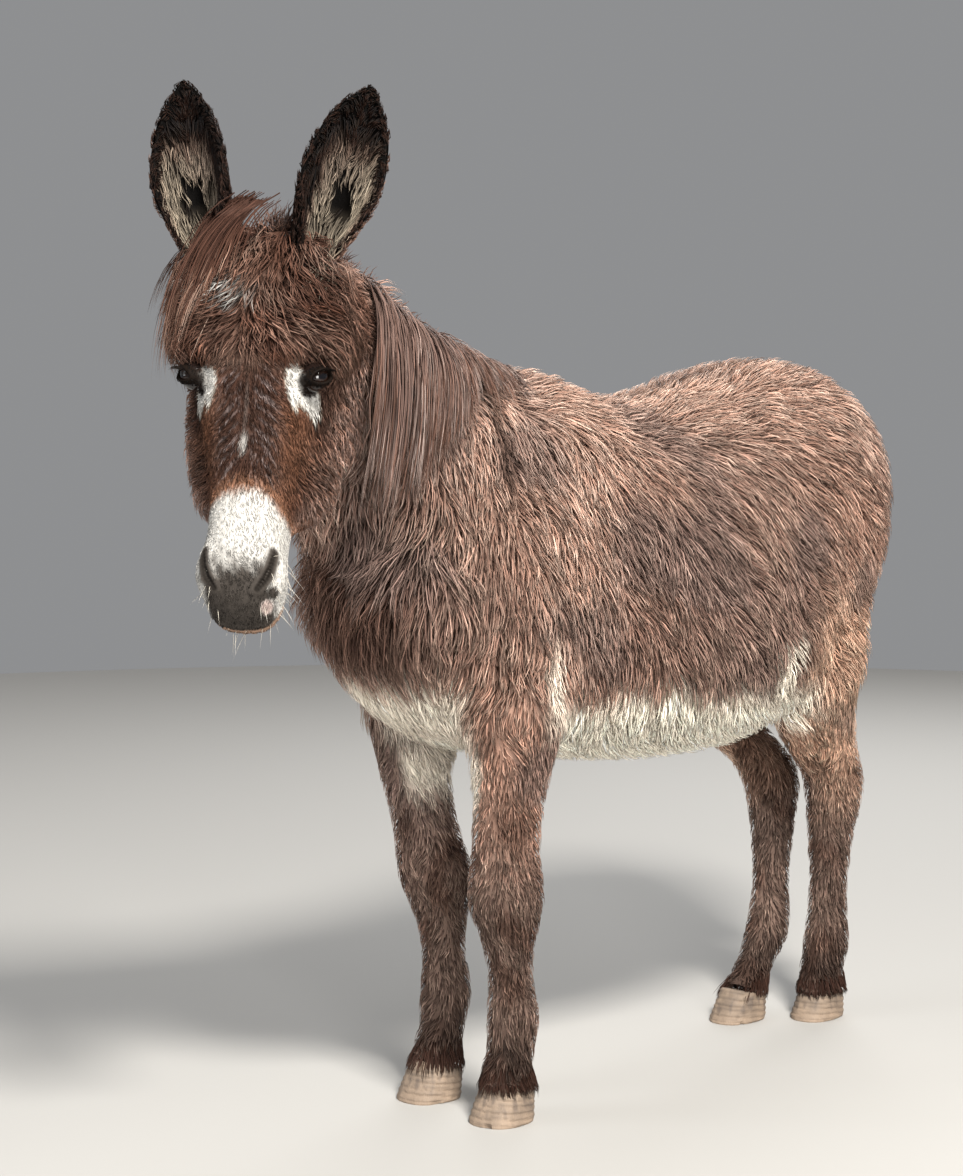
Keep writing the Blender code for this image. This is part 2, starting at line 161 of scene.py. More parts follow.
HEAD = head_axes()
POLL = (middle("eye_left") + middle("eye_right")) / 2 - HEAD @ (EYE_PLACE * (0, 1, 1))


def in_head(points):
    """Points of the shared frame, in the head's own."""
    return (points - POLL) @ HEAD


def from_head(points):
    """Points of the head's own frame, in the shared one."""
    return np.asarray(points) @ HEAD.T + POLL


# ---------------------------------------------------------------- meshes

def new_piece(name, points, faces):
    """A new object in the scene, from its points and faces."""
    mesh = bpy.data.meshes.new(name)
    mesh.from_pydata(np.asarray(points).tolist(), [], [list(f) for f in faces])
    mesh.shade_smooth()
    obj = bpy.data.objects.new(name, mesh)
    bpy.context.scene.collection.objects.link(obj)
    return obj


def point_colours(mesh, colours):
    """Stores a colour for each point of the mesh."""
    layer = mesh.color_attributes.new("coat_colour", "FLOAT_COLOR", "POINT")
    rgba = np.ones((len(mesh.vertices), 4), np.float32)
    rgba[:, :3] = colours
    layer.data.foreach_set("color", rgba.ravel())


def coordinates(mesh):
    """The mesh's points as rows."""
    points = np.empty(len(mesh.vertices) * 3, np.float32)
    mesh.vertices.foreach_get("co", points)
    return points.reshape(-1, 3).astype(float)


def set_coordinates(mesh, points):
    """Moves the mesh's points to new places."""
    mesh.vertices.foreach_set("co", np.asarray(points, np.float32).ravel())
    mesh.update()


def normals_of(mesh):
    """The mesh's normals at its points, as rows."""
    ways = np.empty(len(mesh.vertices) * 3, np.float32)
    mesh.vertices.foreach_get("normal", ways)
    return ways.reshape(-1, 3).astype(float)


def edges_of(mesh):
    """The two ends of each of the mesh's edges."""
    ends = np.empty(len(mesh.edges) * 2, np.int32)
    mesh.edges.foreach_get("vertices", ends)
    return ends.reshape(-1, 2)


def neighbour_mean(values, edges, count):
    """For each point, the mean of a value over the points it shares an edge with."""
    a, b = edges.T
    many = np.bincount(a, minlength=count) + np.bincount(b, minlength=count)
    total = [
        np.bincount(a, v[b], count) + np.bincount(b, v[a], count)
        for v in np.atleast_2d(values.T)
    ]
    return (np.array(total) / np.maximum(many, 1)).T.reshape(values.shape)


RELAX_IN, RELAX_OUT = 0.5, 0.52  # how far each round goes towards the neighbours' mean, and back from it


def relax(values, edges, rounds, keep_size=False):
    """Evens values out over the mesh.

    With keep_size, each round of shrinking is followed by one of growing.
    """
    count = len(values)
    for _ in range(rounds):
        values = values + RELAX_IN * (neighbour_mean(values, edges, count) - values)
        if keep_size:
            values = values - RELAX_OUT * (neighbour_mean(values, edges, count) - values)
    return values


# ---------------------------------------------------------------- the skin

def flesh_labels(points):
    """Which solid of the flesh each point is nearest to: one row of weights for each of FLESH."""
    tree_points, owner = [], []
    for k, name in enumerate(FLESH):
        mesh = nodes[name].data
        mesh.calc_loop_triangles()
        at = coordinates(mesh)
        corners = np.array([t.vertices for t in mesh.loop_triangles])
        shares = np.random.default_rng(k).dirichlet((1, 1, 1), (6, len(corners)))
        spread = (at[corners][None] * shares[..., None]).sum(2).reshape(-1, 3)
        tree_points.append(spread)
        owner += [k] * len(spread)
    tree_points = np.concatenate(tree_points)
    tree = KDTree(len(tree_points))
    for i, p in enumerate(tree_points.tolist()):
        tree.insert(p, i)
    tree.balance()
    closest = np.array([owner[tree.find(p)[1]] for p in points.tolist()])
    return np.eye(len(FLESH))[closest]


def joined_flesh():
    """The solids of the flesh, merged and grown together into one closed mesh of even squares."""
    bm = bmesh.new()
    for name in FLESH:
        part = bmesh.new()
        part.from_mesh(nodes[name].data)
        bmesh.ops.remove_doubles(part, verts=part.verts, dist=1e-6)
        mesh = bpy.data.meshes.new("part")
        part.to_mesh(mesh)
        part.free()
        bm.from_mesh(mesh)
        bpy.data.meshes.remove(mesh)
    skin = new_piece("skin", [], [])
    bm.to_mesh(skin.data)
    bm.free()
    grow = skin.modifiers.new("grow together", "REMESH")
    grow.mode = "VOXEL"
    grow.voxel_size = SKIN_VOXEL
    bpy.context.view_layer.update()
    grown = skin.evaluated_get(bpy.context.evaluated_depsgraph_get())
    skin.data = bpy.data.meshes.new_from_object(grown)
    skin.modifiers.clear()
    return skin


def finer(skin, chosen):
    """Splits every edge of the chosen faces; chosen takes the faces' middles and gives a truth for each."""
    bm = bmesh.new()
    bm.from_mesh(skin.data)
    middles = np.array([f.calc_center_median() for f in bm.faces])
    picked = [bm.faces[i] for i in ready(bm, chosen(middles))]
    edges = list({e for f in picked for e in f.edges})
    bmesh.ops.subdivide_edges(bm, edges=edges, cuts=1, use_grid_fill=True)
    bmesh.ops.triangulate(bm, faces=[f for f in bm.faces if len(f.verts) > 4])
    bm.to_mesh(skin.data)
    bm.free()


def ready(bm, truths):
    """The numbers of the faces whose truth holds, with the face table made ready for reading."""
    bm.faces.ensure_lookup_table()
    return np.flatnonzero(truths).tolist()


def eye_distance(h):
    """How far a point of the head's frame is from the nearer eye."""
    mirrored = np.abs(h[:, :1]) * (1, 0, 0) + h * (0, 1, 1)
    return np.linalg.norm(mirrored - EYE_PLACE, axis=1)


# The nostril's slit on the left, outer end first, in the head's frame, and how wide it is at each place
NOSTRIL = np.array((
    (0.050, -0.466, 0.004), (0.047, -0.488, 0.009),
    (0.041, -0.504, 0.010), (0.030, -0.518, 0.006),
))
NOSTRIL_WIDE = np.array((0.0020, 0.0032, 0.0044, 0.0028))
NOSTRIL_DEEP = 0.020
MOUTH_FRONT = -0.060  # the mouth's height at the front of the lips
MOUTH_BACK = -0.480  # where its corner is
LIP_GROOVE, LIP_SWELL = 0.0060, 0.0022  # how deep the mouth's line is, and how far the lips stand out
NOSE_END = -0.62  # beyond the lips


def nostril_inside(h):
    """Above 0 within the slit and below 0 outside it, in metres: capsules strung along the slit's line."""
    at = h * np.where(h[:, :1] < 0, -1, 1) ** np.array((1, 0, 0))
    steps = np.linspace(0, len(NOSTRIL) - 1, 13)
    places = np.array([[np.interp(s, range(len(NOSTRIL)), NOSTRIL[:, k]) for k in range(3)] for s in steps])
    wide = np.interp(steps, range(len(NOSTRIL)), NOSTRIL_WIDE)
    gaps = np.linalg.norm(at[:, None] - places[None], axis=2)
    return (wide[None] - gaps).max(1)


def mouth_height(h):
    """The mouth's line: level across the front, and dropping a little towards its corners."""
    return MOUTH_FRONT - 0.10 * np.clip(h[:, 1] + 0.562, 0, 0.1)


def shape_face(points, normals):
    """Moves the points of the muzzle along their normals, for the nostrils, their rims and the lips."""
    h = in_head(points)
    near = (h[:, 1] > -0.60) & (h[:, 1] < -0.12) & (np.abs(h[:, 0]) < 0.14) & (h[:, 2] > -0.14)
    out = np.zeros(len(points))
    inside = nostril_inside(h)
    out -= NOSTRIL_DEEP * rise(inside, -0.0015, 0.0025)
    out += LIP_SWELL * rise(inside, -0.014, -0.004) * (1 - rise(inside, -0.003, 0.0))
    gap = h[:, 2] - mouth_height(h)
    lips = rise(h[:, 1], MOUTH_BACK, MOUTH_BACK - 0.02)
    out -= LIP_GROOVE * np.exp(-((gap / 0.0026) ** 2)) * lips
    swell = np.exp(-(((gap - 0.010) / 0.006) ** 2)) + np.exp(-(((gap + 0.010) / 0.006) ** 2))
    out += LIP_SWELL * swell * lips
    return points + normals * (out * near)[:, None]


def make_skin():
    """The flesh grown together, relaxed, drawn in by the coat's depth, then finer and shaped at the face."""
    skin = joined_flesh()
    edges = edges_of(skin.data)
    points = relax(coordinates(skin.data), edges, SKIN_ROUNDS, keep_size=True)
    set_coordinates(skin.data, points)
    labels = relax(flesh_labels(points), edges, 12)
    depth = coat_depth(points, labels)
    depth = relax(depth, edges, 8)
    for _ in range(4):
        points = points - normals_of(skin.data) * (depth / 4)[:, None]
        points = relax(points, edges, 1)
        set_coordinates(skin.data, points)

    finer(skin, lambda p: at_head(in_head(p)))
    finer(skin, lambda p: at_eye_or_muzzle(in_head(p)))
    finer(skin, lambda p: nostril_inside(in_head(p)) > -0.016)
    edges = edges_of(skin.data)
    points = relax(coordinates(skin.data), edges, 2, keep_size=True)
    set_coordinates(skin.data, points)
    points = shape_face(points, normals_of(skin.data))
    points = sink_under_lids(points)
    set_coordinates(skin.data, points)
    skin.data.shade_smooth()
    return skin


def at_head(h):
    """Whether each place of the head's frame is at the head."""
    return (h[:, 1] > NOSE_END) & (np.abs(h[:, 0]) < 0.15) & (h[:, 1] < 0.05) & (h[:, 2] > -0.22)


def at_eye_or_muzzle(h):
    """Whether each place of the head's frame is by an eye or at the muzzle."""
    muzzle = (h[:, 1] < -0.44) & (h[:, 1] > NOSE_END) & (np.abs(h[:, 0]) < 0.09)
    return (eye_distance(h) < 0.055) | muzzle


def parts_of(labels):
    """The weights of trunk, neck, head, tail, forelegs and hind legs."""
    return {
        "trunk": labels[:, 0], "neck": labels[:, 1], "head": labels[:, 2], "tail": labels[:, 3],
        "foreleg": labels[:, 4] + labels[:, 5], "hind_leg": labels[:, 6] + labels[:, 7],
    }


def coat_depth(points, labels):
    """How deep the coat is at each point of the body: thin on the face and thick on the forehead."""
    part = parts_of(labels)
    depth = sum(weight * COAT_DEPTH[name] for name, weight in part.items())
    h = in_head(points)
    cap = rise(h[:, 1], -0.20, -0.15) * rise(h[:, 2], -0.03, 0.01)
    cheek = rise(h[:, 2], -0.02, -0.07) * rise(h[:, 1], -0.42, -0.34)
    nose = rise(h[:, 1], -0.36, -0.42)
    depth += part["head"] * (0.012 * cap + 0.008 * cheek - 0.004 * (1 - cap) * (1 - cheek) - 0.004 * nose)
    shank = rise(points[:, 2], 0.42, 0.34)
    depth -= (part["foreleg"] + part["hind_leg"]) * 0.002 * shank
    return depth


# ---------------------------------------------------------------- eyes and lids

EYE_OUT = unit(np.array((0.74, -0.13, 0.66)))  # the way the left eye looks, in the head's frame
EYE_SLIT = unit(np.array((-0.62, -0.42, 0.61)))  # along its opening, to the inner corner
EYE_HALF = 0.0160
LID_UPPER, LID_LOWER = 0.0080, 0.0072
LID_REACH = 0.036


def eye_frame(side):
    """An eye's middle and radius, and the ways out, along its slit and up across it."""
    name = "eye_left" if side > 0 else "eye_right"
    low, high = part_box(name)
    flip = np.array((side, 1, 1))
    out = unit(EYE_OUT * flip)
    slit = unit(EYE_SLIT * flip - out * (EYE_SLIT * flip @ out))
    across = np.cross(out, slit) * side
    if across[1] < 0:
        across = -across
    return middle(name), (high.x - low.x) / 2, HEAD @ out, HEAD @ slit, HEAD @ across


def sink_under_lids(points):
    """Pulls the skin round each eye in behind the lids, so that the eyeball and lids stand clear of it."""
    for side in (LEFT, RIGHT):
        centre, _, out, _, _ = eye_frame(side)
        offset = points - centre
        along = offset @ out
        flat = np.linalg.norm(offset - along[:, None] * out, axis=1)
        pull = rise(flat, 0.028, 0.022) * (along > -0.01)
        target = centre + (offset - along[:, None] * out) * 0.9 + out * -0.004
        points = points + (target - points) * pull[:, None]
    return points


def make_lids(side, tree):
    """Lids as one surface round the eye: rings from the rim of an almond opening out to the skin.

    The rim lies on a ball a little larger than the eye. Going out, each ring leaves the rim, rolls over the
    lid's edge, dips in a fold and then follows the skin, sinking just under it at the last ring.
    """
    centre, radius, out, slit, across = eye_frame(side)
    turn = np.linspace(0, 2 * math.pi, 72, endpoint=False)
    shares = np.array((0.0, 0.0, 0.05, 0.10, 0.17, 0.26, 0.38, 0.52, 0.68, 0.84, 1.0))
    lift = np.array((-0.0030, 0.0010, 0.0032, 0.0042, 0.0040, 0.0026, 0.0010, 0.0, 0.0, 0.0, -0.0012))
    a = np.cos(turn)
    b = np.sin(turn)
    rim_u = EYE_HALF * np.sign(a) * np.abs(a) ** 0.9
    rim_v = np.where(b > 0, LID_UPPER, LID_LOWER) * np.sign(b) * np.abs(b) ** 1.25
    far_u, far_v = LID_REACH * a, LID_REACH * 0.9 * b
    rings = []
    for share, proud in zip(shares, lift):
        u = rim_u + (far_u - rim_u) * share
        v = rim_v + (far_v - rim_v) * share
        ball = radius + 0.0012
        flat = np.minimum(u * u + v * v, (ball * 0.985) ** 2)
        height = np.sqrt(ball ** 2 - flat)
        on_ball = centre + u[:, None] * slit + v[:, None] * across + height[:, None] * out
        start = centre + u[:, None] * slit + v[:, None] * across + 0.06 * out
        on_skin = np.array([fallback(tree.ray_cast(Vector(p), Vector(-out)), p) for p in start])
        settle = rise(np.full(len(u), share), 0.10, 0.62)
        place = mix(on_ball, on_skin, settle)
        rings.append(place + out * proud)
    points = np.concatenate(rings)
    n, count = len(turn), len(shares)
    i, k = np.meshgrid(np.arange(n), np.arange(count - 1))
    i, k = i.ravel(), k.ravel()
    nxt = (i + 1) % n
    faces = np.stack((k * n + i, k * n + nxt, (k + 1) * n + nxt, (k + 1) * n + i), 1)
    if np.linalg.det(np.array((slit, across, out))) < 0:
        faces = faces[:, ::-1]
    return points, faces


def fallback(hit, p):
    """The place that a ray hit, or p where it hit nothing."""
    return np.array(hit[0]) if hit[0] is not None else p


# ---------------------------------------------------------------- camera, light and floor

CAMERA_PLACE = Vector((2.759, -3.424, 1.20))
CAMERA_DROP = math.radians(5.3)
CAMERA_TURN = math.radians(40.5)
CAMERA_LENS = 85.71  # millimetres, on a 36 mm frame along its long side
FLOOR_REACH = 5.6  # the round floor's radius
FLOOR_COLOUR = (0.34, 0.333, 0.32, 1)
SURROUND_COLOUR = (0.80, 0.81, 0.83, 1)
SURROUND_STRENGTH = 0.34
LIGHT_AIM = Vector((0, 0, 0.75))
# The lights: name, place, size, watts and colour
LIGHTS = (
    ("key", (3.3, -1.9, 4.5), 1.0, 700, (1.0, 0.96, 0.90)),
    ("low fill", (6.0, -5.0, 1.7), 3.0, 660, (1.0, 0.98, 0.95)),
    ("side fill", (-3.4, -5.0, 2.4), 3.0, 150, (0.94, 0.97, 1.0)),
    ("back", (-1.5, 3.6, 3.2), 2.5, 140, (1.0, 1.0, 1.0)),
)


def make_camera():
    """The camera, in front of the donkey and to its left."""
    camera = bpy.data.objects.new("camera", bpy.data.cameras.new("camera"))
    camera.data.lens = CAMERA_LENS
    camera.data.sensor_width = 36
    camera.location = CAMERA_PLACE
    camera.rotation_euler = (math.pi / 2 - CAMERA_DROP, 0, CAMERA_TURN)
    bpy.context.scene.collection.objects.link(camera)
    bpy.context.scene.camera = camera


def area_light(name, place, size, watts, colour):
    """A square light that points at the donkey's middle."""
    light = bpy.data.objects.new(name, bpy.data.lights.new(name, "AREA"))
    light.data.size = size
    light.data.energy = watts
    light.data.color = colour
    light.location = place
    aim = LIGHT_AIM - Vector(place)
    light.rotation_euler = aim.to_track_quat("-Z", "Y").to_euler()
    bpy.context.scene.collection.objects.link(light)


def make_studio():
    """A pale round floor in a pale surround, a soft light high at the donkey's left, and three fills."""
    for light in LIGHTS:
        area_light(*light)
    bpy.context.scene.view_settings.view_transform = "Standard"
    world = bpy.data.worlds.new("surround")
    bpy.context.scene.world = world
    world.use_nodes = True
    glow = world.node_tree.nodes["Background"]
    glow.inputs["Color"].default_value = SURROUND_COLOUR
    glow.inputs["Strength"].default_value = SURROUND_STRENGTH
    turn = np.linspace(0, 2 * math.pi, 128, endpoint=False)
    edge = np.stack((FLOOR_REACH * np.cos(turn), FLOOR_REACH * np.sin(turn), 0 * turn), 1)
    floor = new_piece("floor", edge, [tuple(range(len(turn)))])
    paint = bpy.data.materials.new("floor")
    paint.use_nodes = True
    shader = paint.node_tree.nodes["Principled BSDF"]
    shader.inputs["Base Color"].default_value = FLOOR_COLOUR
    shader.inputs["Roughness"].default_value = 0.9
    floor.data.materials.append(paint)


# ---------------------------------------------------------------- ears

EAR_LENGTH = 0.212
EAR_ROOT = np.array((0.080, -0.016, 0.030))  # of the left ear, in the head's frame
EAR_SINK = 0.034  # how far its base goes down past its root
EAR_BACK = 0.030  # how far its back is behind its root
EAR_INSET = 0.004  # from the solid's outside to the skin, which leaves room for its short hair
EAR_WALL = 0.005
EAR_TIP_HALF = 0.004
EAR_RIM_CURL = 0.006
EAR_LEAN, EAR_TILT, EAR_OPENING = (math.radians(a) for a in (16, 4.5, 14))
# Along the ear: share of its length, half width, half angle of the rolled blade in degrees
EAR = np.array((
    (0.00, 0.034, 140), (0.15, 0.043, 128), (0.35, 0.053, 105), (0.55, 0.055, 88),
    (0.75, 0.046, 72), (0.90, 0.028, 60), (1.00, 0.006, 50),
))
EAR_ROWS, EAR_COLUMNS = 44, 26


def smooth_table(shares, table):
    """Reads a table of rows at new shares, averaged over a short stretch on either side."""
    spread = np.linspace(-0.05, 0.05, 9)
    at = np.clip(shares[:, None] + spread[None], 0, 1)
    columns = [np.interp(at, table[:, 0], table[:, k]).mean(1) for k in range(1, table.shape[1])]
    return np.stack(columns, 1)


def ear_frame(side):
    """Where an ear's root is, and the matrix from its own frame: +Z along it, -Y out of its opening."""
    turned = (
        Matrix.Rotation(HEAD_TURN[0], 3, "Z") @ Matrix.Rotation(EAR_LEAN * side + EAR_TILT, 3, "Y")
        @ Matrix.Rotation(EAR_OPENING * side, 3, "Z")
    )
    return from_head(EAR_ROOT * (side, 1, 1)), np.array(turned)


def make_ear(side):
    """A rolled blade with an outside and an inside, closed along its rim.

    At share s of its length, the blade is an arc of the half angle a(s), and its radius gives the half width
    w(s). The outside runs round the arc one way and the inside comes back, a wall's thickness within it.
    """
    root, axes = ear_frame(side)
    shares = np.linspace(0, 1, EAR_ROWS)
    half, angle = smooth_table(shares, EAR).T
    half[-1] = EAR_TIP_HALF
    angle = np.radians(angle)
    radius = half / np.sin(np.minimum(angle, math.pi / 2))
    centre_y = EAR_BACK - radius
    height = (EAR_LENGTH - EAR_INSET) * shares - EAR_SINK * (1 - shares)
    around = np.linspace(-1, 1, EAR_COLUMNS)
    rows = []
    for inward, turn in ((EAR_INSET, around), (EAR_INSET + EAR_WALL, around[::-1] * 0.985)):
        r = np.maximum(radius - inward, 0.001)[:, None]
        t = angle[:, None] * turn[None] * 0.97
        rim_curl = EAR_RIM_CURL * np.sin(np.pi * shares)[:, None] * np.abs(turn[None]) ** 6
        x = (r + rim_curl) * np.sin(t)
        y = centre_y[:, None] + r * np.cos(t)
        rows.append(np.stack((x, y, np.broadcast_to(height[:, None], x.shape)), 2))
    local = np.concatenate(rows, 1)
    n = 2 * EAR_COLUMNS
    k, i = np.meshgrid(np.arange(EAR_ROWS - 1), np.arange(n), indexing="ij")
    k, i = k.ravel(), i.ravel()
    nxt = (i + 1) % n
    faces = np.stack((k * n + i, k * n + nxt, (k + 1) * n + nxt, (k + 1) * n + i), 1)
    ends = [list(range(n)), list(range((EAR_ROWS - 1) * n, EAR_ROWS * n))]
    points = local.reshape(-1, 3) @ axes.T + root
    facts = {
        "share": np.repeat(shares, n),
        "turn": np.tile(np.concatenate((around, around[::-1])), EAR_ROWS),
        "inside": np.tile(np.repeat((0.0, 1.0), EAR_COLUMNS), EAR_ROWS),
    }
    return points, [f[::-1] for f in faces.tolist()] + [ends[0], ends[1][::-1]], facts


# ---------------------------------------------------------------- markings

# Pale places of the body on the left: middle, and half sizes
PALE_PLACES = (
    ((0.050, -0.400, 0.640), (0.120, 0.060, 0.062)),  # breast, between the forelegs
    ((0.240, 0.298, 0.645), (0.060, 0.030, 0.070)),  # flank fold
    ((0.200, 0.330, 0.545), (0.070, 0.040, 0.030)),  # stifle
)
# Dark cheek hair on the left, the first with painted shadow, in the head's own frame: middle, and half sizes
CHEEK_DARK_AND_SHADOW = (
    ((0.102, -0.262, -0.035), (0.030, 0.045, 0.030)),
    ((0.082, -0.345, -0.045), (0.020, 0.036, 0.028)),
)
# Pale places by the left eye in the head's own frame: middle, and half sizes
EYE_PATCHES = (
    ((0.061, -0.236, 0.028), (0.014, 0.032, 0.028)),
    ((0.082, -0.249, -0.006), (0.018, 0.017, 0.028)),
)


def blob(points, centre, size, mirrored=True):
    """1 at a place and 0 beyond its half sizes, with a soft edge; on both sides when mirrored."""
    at = points.copy()
    if mirrored:
        at[:, 0] = np.abs(at[:, 0])
    far = np.linalg.norm((at - np.array(centre)) / np.array(size), axis=1)
    return rise(far, 1.25, 0.7)


def under_mane(points):
    """1 on the left of the neck, where the mane lies over it."""
    low = np.interp(points[:, 1], (-0.55, -0.40, -0.25), (0.86, 0.96, 1.16))
    x, y, z = points.T
    return rise(x, 0.0, 0.04) * rise(y, -0.22, -0.30) * rise(z, low, low + 0.10)


def body_markings(points, normals, part):
    """The colours of the hair's body and of its tips, from the place alone.

    The trunk is brown with sun-faded tips and smoky patches, paler along the neck and croup, partly from
    sun-bleaching and partly painted light from above; the belly, breast, flank folds and inner legs are
    cream; the shanks are dark and grizzled, with painted shadow inside the hind legs' gaskins; a dark cross
    marks the shoulders; the throat's dark hair carries painted shadow of the head.
    """
    x, y, z = points.T
    patch = drift(points, 0.30, 1)
    fine = drift(points, 0.06, 2)
    ragged = 0.012 * fine
    base = mix(BROWN, SMOKE, 0.45 + 0.45 * patch)
    tip = mix(BROWN_TIP, np.array(BROWN_TIP) * 0.62, 0.5 + 0.5 * drift(points, 0.22, 3))
    # Paler where the sun bleaches the hair, and partly painted light on the top, the neck and the shoulder
    bleach_and_top_light = np.clip(rise(z, 0.94, 1.08) + part["neck"] * 0.35, 0, 1)
    shoulder = blob(points, (0.19, -0.20, 0.86), (0.16, 0.09, 0.20))
    bleach_and_top_light = np.clip(bleach_and_top_light + 0.9 * shoulder, 0, 1)
    base = mix(base, np.array(BROWN) * BLEACH_AND_TOP_LIGHT, 0.75 * bleach_and_top_light)
    tip = mix(tip, np.array(BROWN_TIP) * BLEACH_AND_TOP_LIGHT_TIP, 0.75 * bleach_and_top_light)

    leg = part["foreleg"] + part["hind_leg"]
    maned = under_mane(points) * (1 - part["head"])
    base, tip = mix(base, MANE_BROWN, 0.7 * maned), mix(tip, np.array(MANE_TIP) * 0.7, 0.7 * maned)
    thigh = rise(y, 0.30, 0.42) * rise(z, 0.86, 0.70)
    base, tip = mix(base, THIGH, 0.75 * thigh), mix(tip, THIGH_TIP, 0.75 * thigh)
    # The throat's dark hair, with painted shadow of the head over it
    throat = rise(y, -0.41, -0.47) * rise(z, 0.98, 0.88) * rise(z, 0.70, 0.74) * (1 - part["head"])
    base, tip = mix(base, CHOCOLATE, 0.9 * throat), mix(tip, np.array(CHOCOLATE_TIP) * 0.6, 0.9 * throat)
    middle_side = rise(np.abs(z - 0.90), 0.16, 0.02) * rise(np.abs(y + 0.02), 0.26, 0.10)
    saddle = rise(drift(points, 0.16, 14) + middle_side, 0.3, 1.1)
    base, tip = mix(base, SMOKE, 0.7 * saddle), mix(tip, SMOKE_TIP, 0.6 * saddle)
    shank = leg * rise(z, 0.50, 0.32)
    base, tip = mix(base, SHANK, shank), mix(tip, SHANK_TIP, shank)
    mottled = leg * rise(z, 0.60, 0.45) * rise(drift(points * (1, 1, 0.6), 0.045, 15), 0.1, 0.7)
    base = mix(base, CHOCOLATE, 0.6 * mottled)
    tip = mix(tip, np.array(CHOCOLATE_TIP) * 1.3, 0.55 * mottled)
    pastern = leg * rise(z, 0.17, 0.10)
    base, tip = mix(base, BLACK, 0.6 * pastern), mix(tip, SHANK, 0.7 * pastern)

    from_cross = np.abs(y + 0.312 + 0.05 * (z - 1.0) + 0.006 * fine)
    cross = rise(from_cross, 0.022, 0.006) * rise(z, 0.93, 1.0) * (1 - part["head"])
    stripe = rise(np.abs(x + 0.004 * fine), 0.022, 0.008) * rise(z, 0.98, 1.04) * rise(y, -0.34, -0.30)
    dark = np.clip(cross + 0.8 * stripe, 0, 1)
    base, tip = mix(base, BLACK, 0.75 * dark), mix(tip, CHOCOLATE_TIP, 0.75 * dark)

    border = 0.652 - 0.16 * np.clip(y - 0.04, 0, 1) + ragged
    belly = rise(z, border + 0.024, border - 0.014) * rise(y, -0.29, -0.24) * rise(y, 0.36, 0.26)
    belly = belly * part["trunk"]
    facing_in = rise(-normals[:, 0] * np.sign(x), 0.15, 0.6)
    inner = facing_in * (part["foreleg"] * rise(z, 0.46, 0.54) + part["hind_leg"] * rise(z, 0.58, 0.64))
    # Painted shadow on the inner side of the hind legs, above the hocks
    inner_gaskin_shadow = part["hind_leg"] * facing_in * rise(z, 0.64, 0.58) * rise(z, 0.34, 0.42)
    base, tip = mix(base, CHOCOLATE, 0.7 * inner_gaskin_shadow), mix(tip, CHOCOLATE_TIP, 0.7 * inner_gaskin_shadow)
    groin = rise(z, 0.66, 0.60) * rise(-normals[:, 2], 0.1, 0.6) * part["trunk"]
    places = [0.85 * blob(points + ragged[:, None], *p) for p in PALE_PLACES]
    pale = np.max([belly, 0.85 * inner, groin] + places, axis=0)
    elbow_lock = rise(np.abs(y + 0.243), 0.020, 0.008) * rise(z, 0.60, 0.66) * rise(z, 0.77, 0.72)
    elbow_lock = elbow_lock * part["trunk"]
    pale = np.clip(np.maximum(pale, 0.6 * elbow_lock), 0, 1)
    base, tip = mix(base, CREAM, pale), mix(tip, np.array(CREAM) * 1.1, pale)
    tail = part["tail"]
    base, tip = mix(base, MANE_BROWN, 0.6 * tail), mix(tip, CHOCOLATE_TIP, 0.6 * tail)
    return base, tip


